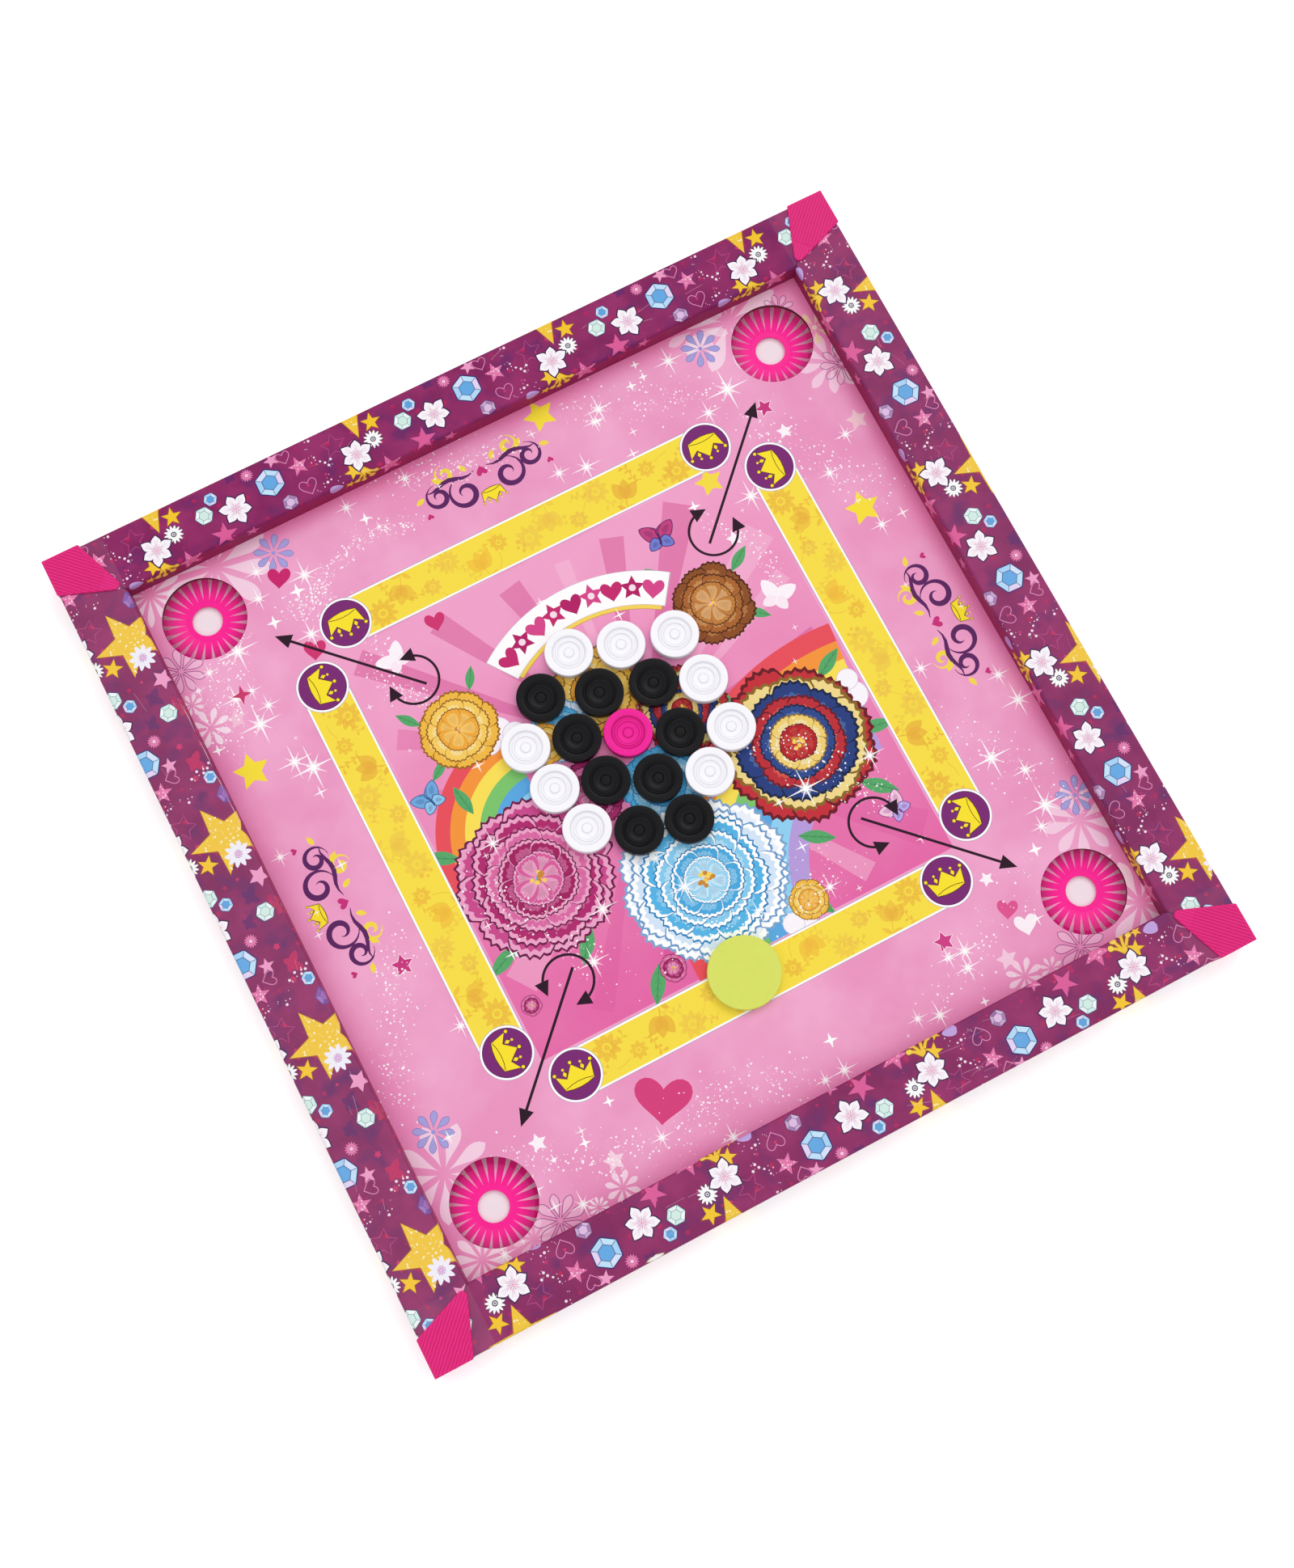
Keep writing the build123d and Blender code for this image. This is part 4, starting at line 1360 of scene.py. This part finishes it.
# %% Spin a carromman
# Each point of the profile is a share of the radius and a height in millimetres.
coin_profile = (
    (0.0, 0.0), (0.955, 0.0), (0.985, 0.18), (1.0, 0.55), (1.0, 5.45), (0.994, 5.72), (0.98, 5.9),
    (0.962, 5.98), (0.945, 6.0), (0.722, 6.0), (0.708, 5.96), (0.696, 5.84), (0.632, 4.86),
    (0.62, 4.74), (0.605, 4.7), (0.588, 4.7), (0.58, 4.75), (0.54, 5.3), (0.531, 5.38),
    (0.518, 5.42), (0.486, 5.42), (0.476, 5.38), (0.468, 5.3), (0.43, 4.75), (0.422, 4.7),
    (0.24, 4.7), (0.233, 4.5), (0.222, 4.48), (0.214, 4.62), (0.186, 5.08), (0.176, 5.16),
    (0.16, 5.18), (0.0, 5.18),
)
spin_steps = 72


def spun_disc(name, material):
    """Spins the profile at the place of the node, and replaces it."""
    low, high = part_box(name)
    radius = (high.x - low.x) / 2 / MM
    bm = bmesh.new()
    ends = [bm.verts.new((share * radius, 0.0, z)) for share, z in coin_profile]
    edges = [bm.edges.new(pair) for pair in zip(ends, ends[1:])]
    bmesh.ops.spin(bm, geom=ends + edges, cent=(0, 0, 0), axis=(0, 0, 1), angle=2 * math.pi,
                   steps=spin_steps, use_merge=True)
    bmesh.ops.remove_doubles(bm, verts=bm.verts, dist=1e-4)
    bmesh.ops.recalc_face_normals(bm, faces=bm.faces)
    bmesh.ops.scale(bm, verts=bm.verts, vec=(MM, MM, MM))
    bmesh.ops.translate(bm, verts=bm.verts,
                        vec=((low.x + high.x) / 2, (low.y + high.y) / 2, low.z))
    made = object_from(bm, "disc_" + name, material, name, smooth=True)
    made.data.set_sharp_from_angle(angle=math.radians(24))
    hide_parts(name)
    return made


# %% [markdown]
# ### Moulded polystyrene
# A moulded disc is satin: the tool's surface was polished, and handling adds fine scuffs that
# change the gloss a little from place to place.

# %% Polystyrene
def satin_plastic(name, colour, dark, rough, gloss, scatter=0.0, painted_flank_shade=None):
    """A satin moulded plastic; scatter lets light through, and steep parts are darkened to a painted
    shade in the last colour given.
    """
    material, tree, shader, place = new_material(name)
    cloud = node(tree, "TexNoise", {"Vector": place, "Scale": 1 / (5 * MM), "Detail": 4.0})
    tone = node(tree, "Mix", {0: cloud, 6: rgba(colour), 7: rgba(dark)}, 2, data_type="RGBA")
    # Painted shade: steep flanks are darkened as if they faced the dim room.
    if painted_flank_shade:
        up = node(tree, "SeparateXYZ", [node(tree, "NewGeometry", out="Normal")], "Z")
        steep = node(tree, "MapRange", [up, 0.97, 0.75, 0.0, 0.75])
        tone = node(tree, "Mix", {0: steep, 6: tone, 7: rgba(painted_flank_shade)}, 2, data_type="RGBA")
    grain = node(tree, "TexNoise", {"Vector": place, "Scale": 1 / (0.5 * MM), "Detail": 3.0})
    bump = node(tree, "Bump", {"Height": grain, "Strength": 0.15, "Distance": 0.02 * MM})
    scuff = node(tree, "MapRange", [grain, 0.3, 0.7, rough - 0.05, rough + 0.08])
    plug(shader, {"Base Color": tone, "Normal": bump, "Roughness": scuff,
                  "Specular IOR Level": gloss})
    if scatter:
        plug(shader, {"Subsurface Weight": scatter, "Subsurface Scale": 0.5,
                      "Subsurface Radius": (0.003, 0.001, 0.0015)})
    return material


# %% Discs
plastics = {}
# The last colour of each plastic is the painted shade of its steep flanks.
for kind, colour, dark, rough, gloss, painted_flank_shade in (
    ("white", "FBFAFE", "F8F6FB", 0.4, 0.25, "E6E4EC"),
    ("black", "07070B", "040408", 0.28, 0.155, None),
    ("queen", "F61A9B", "ED1295", 0.38, 0.2, "C20D72"),
):
    plastics[kind] = satin_plastic("moulded_polystyrene_" + kind, colour, dark, rough, gloss, painted_flank_shade=painted_flank_shade)
for k in range(1, 10):
    spun_disc("white_coin_%d" % k, plastics["white"])
    spun_disc("black_coin_%d" % k, plastics["black"])
queen_disc = spun_disc("queen", plastics["queen"])
print(len(plastics), "plastics, and a carromman has", len(queen_disc.data.polygons), "faces")

# %% [markdown]
# ## Striker, cups and caps
# The solids of these pieces already have their true shapes: a plain striker with eased edges,
# slots in the cups, ribs on the caps. They keep their own meshes and get the plastic they were
# moulded from.

# %% Finish a node
def finish_nodes(material, *names):
    """Puts the material on every slot of the named CAD nodes."""
    for name in names:
        for slot in nodes[name].material_slots:
            slot.material = material
    print(material.name, "on", len(names), "nodes")


def reopened(material):
    """A finished plastic's tree, its shader, its colour and each point's place."""
    tree = material.node_tree
    shader = tree.nodes["Principled BSDF"]
    tone = shader.inputs["Base Color"].links[0].from_socket
    return tree, shader, tone, node(tree, "TexCoord", out="Object")


finish_nodes(satin_plastic("cast_acrylic_striker", "DDE468", "D6DF60", 0.3, 0.25, 0.25), "striker")

# %% [markdown]
# ### Moulded polypropylene
# Caps and cups are injection moulded in one hot pink. Thin walls let a little light through the
# caps; on the cups a painted pink glow stands in for it, so shaded slots still glow pink.

# %% Cups
# A painted glow, the pink itself as a faint emission, stands in for the light that comes
# through the thin plastic. A slot's sides are cut edges, painted paler as a painted highlight of
# the light leaving there. Towards the hole's rim the ring is painted darker, a painted shade of
# the panel.
for corner, middle in cup_middles.items():
    plastic = satin_plastic("moulded_polypropylene_cup_" + corner, "FF1A99", "F81091", 0.34, 0.2)
    tree, shader, tone, place = reopened(plastic)
    out = node(tree, "VectorMath", [place, (middle.x, middle.y, 0.0)], operation="SUBTRACT")
    out = node(tree, "VectorMath", [out, (1.0, 1.0, 0.0)], operation="MULTIPLY")
    away = node(tree, "VectorMath", [out], "Value", operation="LENGTH")
    # Painted shade towards the hole's rim.
    shade = node(tree, "MapRange", [away, 15.0 * MM, pocket_radius * MM, 0.0, 0.95])
    tone = node(tree, "Mix", {0: shade, 6: tone, 7: rgba("BC0E66")}, 2, data_type="RGBA")
    # Painted highlight: the slots' sides are made paler.
    out = node(tree, "VectorMath", [out], operation="NORMALIZE")
    round_way = node(tree, "VectorMath", [out, (0.0, 0.0, 1.0)], operation="CROSS_PRODUCT")
    normal = node(tree, "NewGeometry", out="Normal")
    facing = node(tree, "VectorMath", [normal, round_way], "Value", operation="DOT_PRODUCT")
    facing = node(tree, "Math", [facing], operation="ABSOLUTE")
    side = node(tree, "MapRange", [facing, 0.6, 0.8, 0.0, 0.9])
    tone = node(tree, "Mix", {0: side, 6: tone, 7: rgba("FFDCEE")}, 2, data_type="RGBA")
    # A painted glow: the pink itself as a faint emission.
    plug(shader, {"Base Color": tone, "Emission Color": tone, "Emission Strength": 0.07})
    finish_nodes(plastic, "pocket_cup_" + corner)

# %% Caps
# The grooves between the ribs are painted a little darker on top, a painted shade. The stripes
# follow the kite's long axis, which points the other way on every second corner.
rib_pitch = 1.8
for kind, slope, corners in (("rise", 1, ("back_right", "front_left")),
                             ("fall", -1, ("back_left", "front_right"))):
    plastic = satin_plastic("moulded_polypropylene_caps_" + kind, "EC2E86", "E62680", 0.42, 0.15, 0.05)
    tree, shader, tone, place = reopened(plastic)
    way = (math.sqrt(0.5), -slope * math.sqrt(0.5), 0.0)
    across = node(tree, "VectorMath", [place, way], "Value", operation="DOT_PRODUCT")
    phase = node(tree, "Math", [across, 2 * math.pi / (rib_pitch * MM)], operation="MULTIPLY")
    wave = node(tree, "Math", [phase], operation="COSINE")
    # Painted shade: the grooves between the ribs are darkened on the top.
    painted_groove_shade = node(tree, "MapRange", [wave, 0.3, -0.7, 0.0, 0.45])
    height = node(tree, "SeparateXYZ", [place], "Z")
    on_top = node(tree, "Math", [height, (rail_top_z + 0.9) * MM], operation="GREATER_THAN")
    painted_groove_shade = node(tree, "Math", [painted_groove_shade, on_top], operation="MULTIPLY")
    tone = node(tree, "Mix", {0: painted_groove_shade, 6: tone, 7: rgba("B80A62")}, 2, data_type="RGBA")
    plug(shader, {"Base Color": tone})
    finish_nodes(plastic, *["corner_cap_" + corner for corner in corners])

# %% [markdown]
# ### Hardboard, softwood and steel
# The underside shows what the board is made of: a smooth brown hardboard panel with its fibres
# pressed in, planed softwood rails, and small bright nails.

# %% Hardboard
# The holes' cut edge is painted a dark red-brown: painted shade inside the holes, tinged with the pink
# light reflected from the sheet.
hardboard, tree, shader, place = new_material("pressed_hardboard")
fibre = node(tree, "TexNoise", {"Vector": place, "Scale": 1 / (1.2 * MM), "Detail": 6.0,
                                "Roughness": 0.7})
blotch = node(tree, "TexNoise", {"Vector": place, "Scale": 1 / (40 * MM), "Detail": 2.0})
height = node(tree, "SeparateXYZ", [place], "Z")
panel_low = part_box("board_panel")[0]
# Painted shade on all of the panel above its underside; of that only the holes' walls are in view.
cut = node(tree, "Math", [height, panel_low.z + 0.4 * MM], operation="GREATER_THAN")
tone = rgba("6E4A30")
for share, colour in ((fibre, "9A7150"), (blotch, "84603F"), (cut, "4A1C2A")):
    tone = node(tree, "Mix", {0: share, 6: tone, 7: rgba(colour)}, 2, data_type="RGBA")
bump = node(tree, "Bump", {"Height": fibre, "Strength": 0.5, "Distance": 0.1 * MM})
plug(shader, {"Base Color": tone, "Normal": bump, "Roughness": 0.62})
finish_nodes(hardboard, "board_panel")


# %% Softwood
def softwood(name, grain_turn):
    """Planed softwood with growth lines along the rail."""
    material, tree, shader, place = new_material(name)
    along = node(tree, "Mapping", {"Vector": place, "Scale": (0.06, 1.0, 1.0),
                                   "Rotation": (0.0, 0.0, math.radians(grain_turn))})
    lines = node(tree, "TexNoise", {"Vector": along, "Scale": 1 / (2.2 * MM), "Detail": 5.0})
    pores = node(tree, "TexNoise", {"Vector": along, "Scale": 1 / (0.4 * MM), "Detail": 2.0})
    share = node(tree, "MapRange", [lines, 0.38, 0.62])
    tone = node(tree, "Mix", {0: share, 6: rgba("D9BC8C"), 7: rgba("BF9660")}, 2, data_type="RGBA")
    bump = node(tree, "Bump", {"Height": pores, "Strength": 0.4, "Distance": 0.1 * MM})
    plug(shader, {"Base Color": tone, "Normal": bump, "Roughness": 0.7})
    return material


finish_nodes(softwood("planed_softwood_long", 0), "rail_back", "rail_front")
finish_nodes(softwood("planed_softwood_cross", 90), "rail_left", "rail_right")

# %% Steel
steel, tree, shader, place = new_material("drawn_steel_wire")
smudge = node(tree, "TexNoise", {"Vector": place, "Scale": 1 / (0.8 * MM), "Detail": 3.0})
tone = node(tree, "Mix", {0: smudge, 6: rgba("B9BBBE"), 7: rgba("8F9296")}, 2, data_type="RGBA")
rough = node(tree, "MapRange", [smudge, 0.3, 0.7, 0.28, 0.45])
plug(shader, {"Base Color": tone, "Roughness": rough, "Metallic": 1.0})
finish_nodes(steel, "frame_nails", "panel_nails", "pocket_tacks", "cap_nails")
